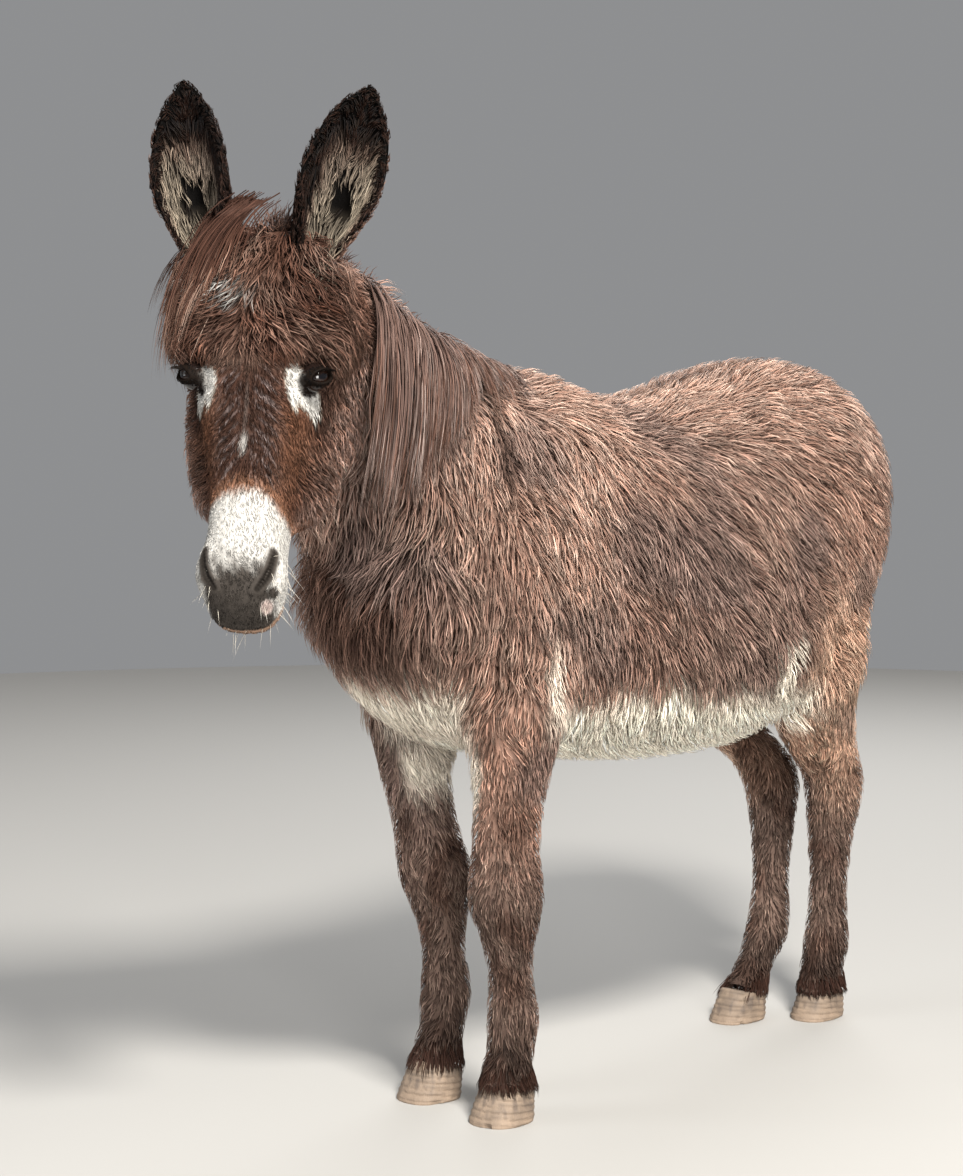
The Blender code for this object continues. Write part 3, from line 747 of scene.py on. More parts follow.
def head_markings(h):
    """The same for the head, from the place in its own frame.

    The forehead is chocolate with rusty tips and a grizzled patch. The face is darker along its middle,
    with a painted grey sheen in chevrons there, and rusty at its sides; the jowls are paler, with a painted
    lilac-grey sheen at their tips. The eyes have pale patches on their inner and lower sides and painted
    shadow behind them; the cheeks have dark hair, partly painted shadow. The muzzle is white inside a rusty
    border, with grey skin from the nostrils to the lips, and painted shade in the nostrils and the mouth's
    line.
    """
    x, y, z = h.T
    side = np.abs(x)
    fine = drift(h, 0.03, 5)
    grain = drift(h * (1, 0.35, 1), 0.008, 8)
    base = mix(CHOCOLATE, BROWN, 0.16 + 0.20 * drift(h, 0.12, 6))
    tip = mix(CHOCOLATE_TIP, BROWN_TIP, 0.20 + 0.3 * drift(h, 0.05, 7))
    rusty = rise(side, 0.030, 0.060) * rise(y, -0.23, -0.28) * rise(z, -0.07, -0.02)
    base = mix(base, np.array(RUST) * 0.55, 0.75 * rusty)
    tip = mix(tip, np.array(RUST) * 1.25, 0.75 * rusty)
    bridge = rise(side, 0.050, 0.026) * rise(y, -0.19, -0.24) * rise(z, -0.02, 0.01)
    base, tip = mix(base, np.array(CHOCOLATE) * 0.55, 0.85 * bridge), mix(tip, CHOCOLATE, 0.9 * bridge)
    # Painted grey sheen in chevrons on either side of the face's middle
    chevrons = rise(np.sin((y + 0.9 * side) * 2 * math.pi / 0.017 + 2.2 * fine) + 0.6 * grain, 0.35, 1.1)
    grizzled = bridge * chevrons * rise(side, 0.006, 0.014)
    base, tip = mix(base, FACE_SHEEN, 0.5 * grizzled), mix(tip, FACE_SHEEN_TIP, 0.9 * grizzled)
    # The jowls: paler hair, with a painted lilac-grey sheen in their tips
    jowl = rise(z, -0.04, -0.09) * rise(y, -0.43, -0.38)
    base, tip = mix(base, np.array(BROWN) * 0.8, 0.6 * jowl), mix(tip, JOWL_PALE_AND_SHEEN_TIP, 0.75 * jowl)
    grizzle = blob(h, (-0.036, -0.100, 0.062), (0.040, 0.022, 0.05), mirrored=False)
    tuft = grizzle * rise(grain + 0.5 * fine, -0.5, 0.1)
    base, tip = mix(base, np.array(WHITE) * 0.35, tuft), mix(tip, np.array(WHITE) * 0.85, tuft)
    star = rise(np.abs(x + 0.001), 0.0065, 0.0015) * rise(y, -0.338, -0.326) * rise(y, -0.298, -0.314)
    star = star * rise(z, -0.02, 0.0)
    line = 0.12 * rise(np.abs(x + 0.001), 0.004, 0.001) * rise(y, -0.310, -0.290) * rise(y, -0.22, -0.25)
    star = np.maximum(star, line)
    base, tip = mix(base, np.array(WHITE) * 0.6, 0.6 * star), mix(tip, WHITE, 0.8 * star)

    near = eye_distance(h)
    rim = rise(near, 0.031, 0.026) * rise(side, 0.060, 0.072)
    # Painted shadow behind each eye, outside its dark rim
    behind = rise(near, 0.044, 0.034) * rise(side - 0.3 * z, 0.094, 0.104) * rise(y, -0.19, -0.21)
    # Dark cheek hair, with painted shadow behind and below the eye
    shade = np.max([blob(h, *p) for p in CHEEK_DARK_AND_SHADOW], axis=0)
    base, tip = mix(base, np.array(CHOCOLATE) * 0.5, 0.85 * shade), mix(tip, CHOCOLATE, 0.8 * shade)
    ragged = 0.0035 * fine[:, None] + 0.0015 * grain[:, None]
    around_eye = np.max([blob(h + ragged, *p) for p in EYE_PATCHES], axis=0)
    tan = rise(around_eye, 0.05, 0.4)
    base = mix(base, np.array(CREAM) * 0.35, 0.7 * tan)
    tip = mix(tip, np.array(CREAM) * 0.45, 0.7 * tan)
    around_eye = rise(around_eye, 0.3, 0.9)
    base = mix(base, np.array(WHITE) * 0.85, around_eye)
    tip = mix(tip, np.array(WHITE) * 0.95, around_eye)
    # The dark rim round each eye, and the painted shadow behind it
    dark = np.maximum(rim, 0.9 * behind)
    base, tip = mix(base, BLACK, dark), mix(tip, np.array(CHOCOLATE) * 0.8, dark)

    edge = -0.384 - 0.016 * rise(side, 0.02, 0.05) - 0.018 * rise(z, 0.0, -0.05)
    edge = edge + 0.004 * fine + 0.003 * grain
    border = rise(y, edge + 0.030, edge + 0.004)
    base, tip = mix(base, RUST, 0.7 * border), mix(tip, RUST_TIP, 0.8 * border)
    muzzle = rise(y, edge + 0.008, edge - 0.010)
    base, tip = mix(base, np.array(WHITE) * 0.74, muzzle), mix(tip, np.array(WHITE) * 0.86, muzzle)
    fade = y + 0.010 * grain
    grey = rise(fade, -0.452, -0.505) ** 1.3 * rise(side, 0.052, 0.040)
    grey = np.maximum(grey, rise(nostril_inside(h), -0.012, -0.004))
    grey = np.maximum(grey, rise(y, -0.530, -0.548) * 0.95)
    grey = np.maximum(grey, blob(h, (0.050, -0.520, -0.008), (0.009, 0.010, 0.016), mirrored=False))
    pink = blob(h, (0.040, -0.536, -0.022), (0.009, 0.011, 0.014), mirrored=False)
    grey = grey * (1 - 0.9 * pink)
    base, tip = mix(base, NOSE_GREY, grey), mix(tip, np.array(NOSE_GREY) * 1.9, grey)
    base, tip = mix(base, PINK, 0.8 * pink), mix(tip, PINK, 0.7 * pink)
    # Painted shade, near black, deep in the nostrils and along the mouth's line
    deep = rise(nostril_inside(h), -0.0040, -0.0005)
    gap = z - mouth_height(h)
    front = rise(y, MOUTH_BACK, MOUTH_BACK - 0.02)
    lip = rise(gap, -0.002, -0.004) * rise(gap, -0.015, -0.011) * rise(y, -0.50, -0.53)
    base, tip = mix(base, LIP, 0.8 * lip), mix(tip, LIP_TIP, 0.8 * lip)
    mouth = rise(np.abs(gap), 0.0035, 0.0015) * front
    base = mix(base, np.array(BLACK) * 0.3, np.maximum(deep, mouth))
    return base, tip


def markings(points, normals, part):
    """The colours of the hair's body and of its tips anywhere on the skin but the ears."""
    base, tip = body_markings(points, normals, part)
    h = in_head(points)
    head_base, head_tip = head_markings(h)
    on_head = rise(part["head"], 0.25, 0.75)
    return mix(base, head_base, on_head), mix(tip, head_tip, on_head)


def ear_markings(facts):
    """The ears' colours: brown outside, black at the tip, the rims and up the inner side, cream within."""
    share, turn, inside = facts["share"], facts["turn"], facts["inside"]
    medial = -turn * facts["side"]
    rim = np.max((
        rise(np.abs(turn), 0.84, 0.96), rise(share, 0.62, 0.76) + 0 * turn,
        rise(medial - 0.20 - 0.55 * share, -0.06, 0.10),
    ), axis=0)
    base = mix(np.array(CHOCOLATE), BROWN, 0.4 * (1 - share))
    tip = mix(CHOCOLATE_TIP, BROWN_TIP, 0.3 * (1 - share))
    base, tip = mix(base, BLACK, rim), mix(tip, np.array(CHOCOLATE) * 0.7, rim)
    lining = inside * (1 - rim)
    pale = mix(EAR_CREAM, np.array(BROWN_TIP) * 0.5, 0.75 * rise(share + 0.25 * medial, 0.30, 0.66))
    base, tip = mix(base, pale * 0.22, lining), mix(tip, pale, lining)
    # Painted shade in the ear's deep opening
    return mix(base, BLACK, ear_hollow(facts)), tip


def ear_hollow(facts):
    """Painted shade in the opening deep in the ear, below its middle and a little to the outer side."""
    outer = facts["turn"] * facts["side"]
    across = rise(np.abs(outer - 0.22), 0.32, 0.16)
    return facts["inside"] * across * rise(np.abs(facts["share"] - 0.40), 0.16, 0.09)


# ---------------------------------------------------------------- the coat's lie and style

def coat_ways(points, normals, part):
    """The way that the hair lies, along the skin.

    On the body it falls, leaning forward on the neck and back on the flank, and runs back along the top.
    On the head it runs down the face and away from its middle, back and down over the cheeks, and out from
    each eye. Slow drifts turn it.
    """
    x, y = points.T[:2]
    back = np.interp(y, (-0.55, -0.25, 0.10, 0.45), (-0.20, 0.02, 0.42, 0.55))
    top = rise(normals[:, 2], 0.55, 0.95)
    under = rise(-normals[:, 2], 0.6, 0.95)
    leg = part["foreleg"] + part["hind_leg"]
    way = np.stack((0.0 * x, back + 0.9 * top + 0.8 * under, -1.0 + 0.5 * top), 1)
    way = mix(way, np.array((0.0, 0.14, -1.0)), np.clip(leg + part["tail"], 0, 1))

    h = in_head(points)
    local_n = normals @ HEAD
    hx, hy, hz = h.T
    spread = np.interp(hy, (-0.50, -0.38, -0.30, -0.18, -0.02), (2.0, 6.0, 18.0, 14.0, 6.0))
    face = np.stack((np.clip(hx * spread, -0.75, 0.75), -np.ones_like(hx), -0.1 + 0.0 * hx), 1)
    cheek = rise(hz, 0.0, -0.05) * rise(hy, -0.44, -0.36)
    face = mix(face, np.array((0.0, -0.62, -0.80)), cheek)
    behind = rise(-local_n[:, 2], 0.2, 0.8) * rise(hy, -0.30, -0.20)
    face = mix(face, np.array((0.0, -0.9, -0.2)), behind)
    way = mix(way, unit(face) @ HEAD.T, rise(part["head"], 0.3, 0.7))
    for side in (LEFT, RIGHT):
        from_eye = points - eye_frame(side)[0]
        near = rise(np.linalg.norm(from_eye, axis=1), 0.037, 0.027)
        way = mix(way, unit(from_eye), 0.85 * near * part["head"])

    way = unit(way - normals * dot(way, normals))
    curl = (0.30 + 0.25 * part["head"]) * drift(points, 0.09, 11) + 0.32 * drift(points, 0.035, 12)
    side = np.cross(way, normals)
    return unit(way * np.cos(curl)[:, None] + side * np.sin(curl)[:, None])


# The plain hair of body, shank and face: length and width, and locks per square metre
BODY_LENGTH, SHANK_LENGTH, FACE_LENGTH = 0.052, 0.028, 0.013
BODY_WIDTH, FACE_WIDTH = 0.0031, 0.0021
BODY_DENSE, FACE_DENSE = 23500, 88000


def coat_style(points, part, depth):
    """Each place's hair: length, width, locks per square metre, how far it stands out, and its curl."""
    y, z = points[:, 1], points[:, 2]
    h = in_head(points)
    head = rise(part["head"], 0.3, 0.7)
    leg = part["foreleg"] + part["hind_leg"]
    shank = leg * rise(z, 0.62, 0.50)
    fetlock = leg * rise(z, 0.20, 0.15)
    cap = rise(h[:, 1], -0.215, -0.17) * rise(h[:, 2], -0.05, 0.0)
    cheek = rise(h[:, 2], -0.01, -0.05) * rise(h[:, 1], -0.42, -0.34)
    nose = rise(h[:, 1], -0.33, -0.40)
    bare = rise(h[:, 1], -0.49, -0.51)

    length = BODY_LENGTH + 0.012 * drift(points, 0.20, 21)
    length = length * (1 - shank) + SHANK_LENGTH * shank + 0.006 * fetlock
    temple = cap * rise(np.abs(h[:, 0]), 0.050, 0.085)
    face = FACE_LENGTH + 0.034 * cap + 0.020 * temple + 0.020 * cheek * (1 - cap)
    face = face - 0.005 * nose - 0.002 * bare
    length = length * (1 - head) + face * head

    width = BODY_WIDTH - 0.0003 * shank
    face = FACE_WIDTH + 0.0009 * cap + 0.0008 * cheek * (1 - cap) - 0.0004 * nose
    width = width * (1 - head) + face * head

    dense = BODY_DENSE + 7500 * shank + 2500 * part["neck"]
    face = FACE_DENSE - 44000 * cap - 40000 * cheek * (1 - cap) + 10000 * nose
    dense = dense * (1 - head) + face * head

    below_eye = rise(eye_distance(h), 0.060, 0.036) * rise(h[:, 1], -0.195, -0.215) * head
    on_lid = rise(eye_distance(h), 0.040, 0.030) * head
    length = length * (1 - 0.35 * below_eye) * (1 - 0.35 * on_lid)
    stand = depth * (1 - 0.45 * head * (1 - cap) * (1 - cheek))
    stand = stand * (1 - 0.3 * below_eye) * (1 - 0.5 * on_lid)
    stand = stand * (1 + 0.60 * temple * head)
    throat = rise(y, -0.40, -0.46) * rise(z, 0.72, 0.80) * (1 - head)
    stand, length = stand * (1 + 1.25 * throat), length * (1 + 0.25 * throat)
    maned = under_mane(points) * (1 - head)
    stand, length = stand * (1 - 0.5 * maned), length * (1 - 0.3 * maned)
    curl = 0.11 + 0.12 * head * np.maximum(cap, 0.6 * cheek) + 0.04 * shank
    near = eye_distance(h) < 0.040
    hidden = rise(eye_opening(points), 1.20, 1.06) * near * head
    hidden = np.maximum(hidden, rise(nostril_inside(h), -0.009, -0.005) * head)
    lips = rise(h[:, 1], MOUTH_BACK, MOUTH_BACK - 0.02) * head
    hidden = np.maximum(hidden, rise(np.abs(h[:, 2] - mouth_height(h)), 0.006, 0.004) * lips)
    hidden = np.maximum(hidden, rise(z, 0.036, 0.030) * leg)
    return {"length": length, "width": width, "dense": dense * (1 - hidden), "stand": stand, "curl": curl}


# ---------------------------------------------------------------- locks

ROOT_SUNK = 0.0015  # how far each lock starts below the skin
BAKE_PATCH = 0.003  # the side of a lock's patch on the skin's unwrap


def nearest(tree, points):
    """The nearest place of the tree's surface to each point, and the normal there."""
    found = [tree.find_nearest(p) for p in points.tolist()]
    return np.array([f[0][:] for f in found]), np.array([f[1][:] for f in found])


def walk(tree, roots, normals, ways, length, stand, rings, pull=None):
    """Each lock's middle line: it steps along its way, and stands off the skin a little more at each step.

    With pull, a steady outside way is mixed into its own at every step, as weight does to long hair, and a
    lock that is already further from the skin than it stands is left where it hangs.
    """
    step = (length / rings)[:, None]
    place, normal, way = roots, normals, ways
    lines, outs = [roots - normals * ROOT_SUNK], [normals]
    for k in range(1, rings + 1):
        place = place + way * step
        skin_at, skin_n = nearest(tree, place)
        gap = ((place - skin_at) * skin_n).sum(1)
        normal = unit(normal * 0.4 + skin_n * 0.6)
        want = stand * np.sin(0.5 * math.pi * (k / rings) ** 0.8)
        if pull is None:
            place = skin_at
            lines.append(skin_at + skin_n * want[:, None])
        else:
            held = gap < want
            lift = np.where(held, want - gap, 0.0)
            place = place + skin_n * lift[:, None]
            lines.append(place)
            way = unit(way + np.asarray(pull) * 0.45)
        on_skin = 1.0 if pull is None else (gap < want)[:, None]
        way = unit(way - skin_n * dot(way, skin_n) * on_skin)
        outs.append(normal)
    return np.stack(lines, 1), np.stack(outs, 1)


def gather(lines, roots, every, strength, rng):
    """Draws locks together into clumps: each leans towards its nearest chosen neighbour, most at its tip.

    Gives the new lines, and which neighbour each lock leans to.
    """
    count, rings = lines.shape[:2]
    leaders = rng.choice(count, max(1, count // every), replace=False)
    tree = KDTree(len(leaders))
    for i, p in enumerate(roots[leaders].tolist()):
        tree.insert(p, i)
    tree.balance()
    lead = leaders[np.array([tree.find(p)[1] for p in roots.tolist()])]
    share = (np.linspace(0, 1, rings) ** 1.2)[None, :, None]
    return lines + (lines[lead] - lines) * strength * share, lead


def lock_mesh(name, lines, outs, width, colours, bake_uv, flat=0.42):
    """Locks as closed three-sided tapering bars, joined in one mesh.

    Each ring has a left and a right edge on the skin's side and a ridge on the outer side; the bar is widest
    a third of the way along and ends in a point. Two sets of coordinates go with it: one runs across and
    along each lock, and one puts each lock in a small patch at its root's place on the skin's own unwrap.
    """
    count, rings = lines.shape[:2]
    share = np.linspace(0, 1, rings)
    taper = (0.62 + 0.9 * share * (1 - share) * 2) * (1 - share ** 1.6)
    along = unit(np.gradient(lines, axis=1))
    side = unit(np.cross(along, outs))
    out = np.cross(side, along)
    half = (0.5 * width[:, None] * taper[None])[..., None]
    body = slice(0, rings - 1)
    left = lines[:, body] - side[:, body] * half[:, body]
    right = lines[:, body] + side[:, body] * half[:, body]
    ridge = lines[:, body] + out[:, body] * half[:, body] * 2 * flat
    tube = np.stack((left, ridge, right), 2).reshape(count, -1, 3)
    points = np.concatenate((tube, lines[:, -1:]), 1)
    per_lock = points.shape[1]

    faces = []
    for k in range(rings - 2):
        for a, b in ((0, 1), (1, 2), (2, 0)):
            p, q, r, s = 3 * k + a, 3 * k + b, 3 * k + 3 + b, 3 * k + 3 + a
            faces += [(p, q, r), (p, r, s)]
    last, tip = 3 * (rings - 2), per_lock - 1
    faces += [(last, last + 1, tip), (last + 1, last + 2, tip), (last + 2, last, tip), (2, 1, 0)]
    faces = np.array(faces)
    corners = (faces[None] + (np.arange(count) * per_lock)[:, None, None]).reshape(-1, 3)

    mesh = bpy.data.meshes.new(name)
    mesh.vertices.add(count * per_lock)
    mesh.vertices.foreach_set("co", points.astype(np.float32).ravel())
    mesh.loops.add(corners.size)
    mesh.loops.foreach_set("vertex_index", corners.astype(np.int32).ravel())
    mesh.polygons.add(len(corners))
    mesh.polygons.foreach_set("loop_start", np.arange(0, corners.size, 3, dtype=np.int32))
    mesh.update(calc_edges=True)
    mesh.shade_smooth()

    across = np.tile((0.0, 0.5, 1.0), rings - 1)
    lengthwise = np.repeat(share[:-1], 3)
    own = np.stack((np.append(across, 0.5), np.append(lengthwise, 1.0)), 1)
    shade = (colours[:, :, None] * np.ones((1, 1, 3, 1)))[:, body].reshape(count, -1, 3)
    shade = np.concatenate((shade, colours[:, -1:]), 1)
    point_colours(mesh, shade.reshape(-1, 3))
    patch = bake_uv[:, None] + (own[None] - 0.5) * BAKE_PATCH
    add_uv(mesh, "OFBake", patch.reshape(-1, 2)[corners.ravel()])
    lock_id = np.random.default_rng(5).uniform(0, 60, (count, 1, 2))
    add_uv(mesh, "lock", (own[None] + np.floor(lock_id)).reshape(-1, 2)[corners.ravel()])
    obj = bpy.data.objects.new(name, mesh)
    bpy.context.scene.collection.objects.link(obj)
    return obj


def add_uv(mesh, name, values):
    """Adds a set of flat coordinates, one for each face corner."""
    layer = mesh.uv_layers.new(name=name)
    layer.data.foreach_set("uv", np.asarray(values, np.float32).ravel())


def lock_shades(base, tip, rings, rng, spread=0.22):
    """Colours along each lock: painted shade at its root, then its body's, then its tip's; no two are the
    same.
    """
    share = np.linspace(0, 1, rings)[None, :, None]
    pale = rise(base.mean(1), 0.15, 0.5)[:, None, None]
    own = np.clip(rng.normal(1.0, spread, (len(base), 1, 1)), 0.5, 1.7)
    own = 1 + (own - 1) * (1 - 0.6 * pale)
    reach = np.clip(rng.normal(0.55, 0.18, (len(base), 1, 1)), 0.2, 0.95)
    # Painted shade among the locks: darker at the root, less so on pale hair
    root = 0.50 + 0.45 * pale
    body = base[:, None] * (root + (1 - root) * np.clip(share / 0.4, 0, 1))
    to_tip = np.clip((share - reach) / (1.02 - reach), 0, 1)
    return np.clip((body + (tip[:, None] - body) * to_tip) * own, 0.003, 0.9)


# ---------------------------------------------------------------- the finished skin, where hair is rooted

def joined_skin(body, tree):
    """Joins the lids and ears to the body's skin; gives each one's kind, number of points and facts."""
    bm = bmesh.new()
    bm.from_mesh(body.data)
    facts = []
    for side in (LEFT, RIGHT):
        for kind, made in (("lid", make_lids(side, tree)), ("ear", make_ear(side))):
            extra = new_piece("part", made[0], made[1])
            bm.from_mesh(extra.data)
            facts.append((kind, len(made[0]), made[2] if kind == "ear" else None))
            bpy.data.objects.remove(extra)
    bm.to_mesh(body.data)
    bm.free()
    body.data.shade_smooth()
    return facts


def unwrap(skin):
    """Lays the skin's own shape out flat, in charts that don't overlap."""
    skin.data.uv_layers.new(name="OFBake")
    bpy.context.view_layer.objects.active = skin
    skin.select_set(True)
    bpy.ops.object.mode_set(mode="EDIT")
    bpy.ops.mesh.select_all(action="SELECT")
    bpy.ops.uv.smart_project(angle_limit=math.radians(66), island_margin=0.001)
    bpy.ops.object.mode_set(mode="OBJECT")
    skin.select_set(False)


BODY, LID, EAR_SKIN = 0, 1, 2  # the kinds of skin


class Ground:
    """The skin as arrays that locks are rooted on: points, normals, triangles, their unwrap and weights."""

    def __init__(self, skin, facts, bare):
        self.bare = bare  # the same skin without lids and ears
        mesh = skin.data
        mesh.calc_loop_triangles()
        count = len(mesh.loop_triangles)
        corners, loops = np.empty(count * 3, np.int32), np.empty(count * 3, np.int32)
        mesh.loop_triangles.foreach_get("vertices", corners)
        mesh.loop_triangles.foreach_get("loops", loops)
        flat = np.empty(len(mesh.loops) * 2, np.float32)
        mesh.uv_layers["OFBake"].data.foreach_get("uv", flat)
        self.points, self.normals = coordinates(mesh), normals_of(mesh)
        self.triangles = corners.reshape(-1, 3)
        self.uv = flat.reshape(-1, 2)[loops].reshape(-1, 3, 2)
        self.tree = BVHTree.FromPolygons(self.points.tolist(), self.triangles.tolist())
        body_count = len(self.points) - sum(f[1] for f in facts)
        labels = np.zeros((len(self.points), len(FLESH)))
        edges = edges_of(mesh)
        labels[:body_count] = flesh_labels(self.points[:body_count])
        labels[body_count:, FLESH.index("head")] = 1
        self.labels = relax(labels, edges, 10)
        off_head = self.triangles[self.labels[self.triangles, FLESH.index("head")].max(1) < 0.5]
        self.neck = BVHTree.FromPolygons(self.points.tolist(), off_head.tolist())  # the skin but the head
        self.kind = np.full(len(self.points), BODY)
        self.ear = {key: np.zeros(len(self.points)) for key in ("share", "turn", "inside", "side")}
        start = body_count
        for n, (kind, many, own) in enumerate(facts):
            self.kind[start:start + many] = LID if kind == "lid" else EAR_SKIN
            if own:
                for key, values in own.items():
                    self.ear[key][start:start + many] = values
                self.ear["side"][start:start + many] = LEFT if n < 2 else RIGHT
            start += many

    def roots(self, dense, rng):
        """Places by area times the wanted locks per square metre: triangles and their corners' shares."""
        p = self.points[self.triangles]
        area = 0.5 * np.linalg.norm(np.cross(p[:, 1] - p[:, 0], p[:, 2] - p[:, 0]), axis=1)
        total = np.cumsum(area * dense[self.triangles].mean(1))
        count = int(total[-1])
        at = (np.arange(count) + rng.uniform(0, 1, count)) * total[-1] / count
        triangle = np.minimum(np.searchsorted(total, at), len(total) - 1)
        shares = rng.dirichlet((1, 1, 1), count)
        return triangle, shares

    def read(self, values, triangle, shares):
        """A value of the skin's points at places given by their triangle and the shares of its corners."""
        return (values[self.triangles[triangle]].reshape(len(triangle), 3, -1) * shares[..., None]).sum(1)

    def place_of(self, points):
        """The skin's unwrap at the nearest place to each point."""
        index = np.array([self.tree.find_nearest(p)[2] for p in points.tolist()])
        return self.uv[index].mean(1)


# ---------------------------------------------------------------- the coat

MOST_TRIANGLES = 190000  # in one piece


def make_coat(ground, rng):
    """The coat of the body and head, in pieces that each hold no more than MOST_TRIANGLES."""
    part = parts_of(ground.labels)
    depth = coat_depth(ground.points, ground.labels)
    style = coat_style(ground.points, part, depth)
    dense = np.where(ground.kind < EAR_SKIN, style["dense"], 0.0)
    triangle, shares = ground.roots(dense, rng)
    points = ground.read(ground.points, triangle, shares)
    normals = unit(ground.read(ground.normals, triangle, shares))
    labels = ground.read(ground.labels, triangle, shares)
    own = {key: ground.read(value, triangle, shares)[:, 0] for key, value in style.items()}
    bake_uv = (ground.uv[triangle] * shares[..., None]).sum(1)
    part = parts_of(labels)
    ways = coat_ways(points, normals, part)
    base, tip = markings(points, normals, part)
    pieces = []
    for name, chosen, rings in coat_groups(points, part):
        rows = np.flatnonzero(chosen)
        rows = rows[np.argsort(points[rows, 1] + 0.3 * points[rows, 2])]
        wanted = math.ceil(len(rows) * lock_triangles(rings) / MOST_TRIANGLES)
        for n, some in enumerate(np.array_split(rows, wanted)):
            if len(some):
                pieces.append(coat_piece(
                    f"coat_{name}_{n + 1}", ground.tree, points[some], normals[some], ways[some],
                    {key: value[some] for key, value in own.items()},
                    base[some], tip[some], bake_uv[some], rings, rng,
                ))
    return pieces


def lock_triangles(rings):
    """How many triangles a lock has that bends in this many steps."""
    return 6 * rings - 2


def coat_groups(points, part):
    """The pieces' names, which locks each holds, and in how many steps its locks bend."""
    head = part["head"] > 0.5
    leg = part["foreleg"] + part["hind_leg"] > 0.5
    rest = ~head & ~leg
    return (
        ("head", head, 2),
        ("neck", rest & (part["neck"] > 0.5), 3),
        ("legs", leg, 2),
        ("left", rest & (part["neck"] <= 0.5) & (points[:, 0] >= 0), 3),
        ("right", rest & (part["neck"] <= 0.5) & (points[:, 0] < 0), 3),
    )


def coat_piece(name, tree, points, normals, ways, own, base, tip, bake_uv, rings, rng):
    """One piece of the coat: locks that vary in length, stand, wave, width and tone, drawn into clumps."""
    count = len(points)
    length = own["length"] * rng.uniform(0.65, 1.2, count)
    stand = own["stand"] * rng.uniform(0.50, 1.12, count)
    lines, outs = walk(tree, points, normals, ways, length, stand, rings)
    sway = np.cross(np.gradient(lines, axis=1), outs)
    phase = rng.uniform(0, 2 * math.pi, (count, 1))
    share = np.linspace(0, 1, rings + 1)[None]
    wave = own["curl"][:, None] * np.sin(phase + 4.2 * share) * share
    lines = lines + unit(sway) * (wave * length[:, None])[..., None]
    lines, lead = gather(lines, points, 6, 0.38, rng)
    clump_tone = np.clip(rng.normal(1.0, 0.20, count), 0.55, 1.6)[lead][:, None]
    clump_tone = 1 + (clump_tone - 1) * (1 - 0.7 * rise(base.mean(1), 0.2, 0.5))[:, None]
    width = own["width"] * rng.uniform(0.6, 1.3, count)
    shades = lock_shades(base * clump_tone, tip * clump_tone, rings + 1, rng, 0.26)
    return lock_mesh(name, lines, outs, width, shades, bake_uv)


EAR_HAIR_DENSE, EAR_LINING_DENSE = 100000, 40000  # locks per square metre


def make_ear_coat(ground, rng):
    """Short hair outside each ear, and long curly cream hair inside that grows from its lining and rims."""
    ear = ground.ear
    on_ear = ground.kind == EAR_SKIN
    lining = ear["inside"] * rise(ear["share"], 0.86, 0.78) * rise(np.abs(ear["turn"]), 0.92, 0.84)
    dense = on_ear * (EAR_HAIR_DENSE * (1 - lining) + EAR_LINING_DENSE * lining * (1 - ear_hollow(ear)))
    triangle, shares = ground.roots(dense, rng)
    points = ground.read(ground.points, triangle, shares)
    normals = unit(ground.read(ground.normals, triangle, shares))
    facts = {key: ground.read(value, triangle, shares)[:, 0] for key, value in ear.items()}
    bake_uv = (ground.uv[triangle] * shares[..., None]).sum(1)
    base, tip = ear_markings(facts)
    lined = (facts["inside"] > 0.5) & (facts["share"] < 0.82) & (np.abs(facts["turn"]) < 0.90)
    pieces = []
    for side in (LEFT, RIGHT):
        axes = ear_frame(side)[1]
        for name, chosen in (("hair", ~lined), ("lining", lined)):
            some = np.flatnonzero(chosen & (facts["side"] * side > 0))
            count = len(some)
            share, turn = facts["share"][some], facts["turn"][some]
            if name == "hair":
                local = np.stack((0.35 * turn, -0.7 * np.abs(turn) ** 3, np.ones(count)), 1)
                inward = np.stack((-0.9 * turn, -0.35 + 0 * turn, -0.9 * share ** 2), 1)
                local = mix(local, inward, facts["inside"][some])
                length, width, rings = 0.017 + 0.006 * share, 0.0026, 2
                stand = 0.0045 + 0.003 * np.abs(turn)
            else:
                fall = np.interp(share, (0.0, 0.50, 0.75), (-1.0, -0.75, -0.45))
                local = np.stack((-0.75 * turn, -0.30 - 0.2 * np.abs(turn), fall), 1)
                length, width, rings = 0.034 + 0.018 * np.abs(turn) + 0.036 * (share < 0.22), 0.0028, 5
                stand = 0.015 - 0.007 * np.abs(turn)
            way = unit(local + 0.13 * rng.normal(size=local.shape)) @ axes.T
            way = unit(way - normals[some] * dot(way, normals[some]) * 0.9)
            length = length * rng.uniform(0.6, 1.25, count)
            lines, outs = walk(ground.tree, points[some], normals[some], way, length,
                               stand * rng.uniform(0.3, 1.0, count), rings)
            if name == "lining":
                lines = curled(lines, outs, 0.06 * length, rng)
            lines = gather(lines, points[some], 9, 0.6, rng)[0]
            shades = lock_shades(base[some], tip[some], rings + 1, rng)
            ear_name = "left" if side > 0 else "right"
            pieces.append(lock_mesh(f"ear_{name}_{ear_name}", lines, outs,
                                    width * rng.uniform(0.6, 1.2, count), shades, bake_uv[some]))
    return pieces


def curled(lines, outs, size, rng, turns=1.3):
    """Bends each lock's line into a loose wave about itself that grows towards its tip."""
    count, rings = lines.shape[:2]
    along = unit(np.gradient(lines, axis=1))
    side = unit(np.cross(along, outs))
    up = np.cross(side, along)
    share = np.linspace(0, 1, rings)[None]
    turn = rng.uniform(0, 2 * math.pi, (count, 1)) + share * turns * 2 * math.pi
    grow = (np.asarray(size)[:, None] * share)[..., None]
    return lines + side * np.sin(turn)[..., None] * grow + up * np.cos(turn)[..., None] * grow * 0.5


# ---------------------------------------------------------------- long hair

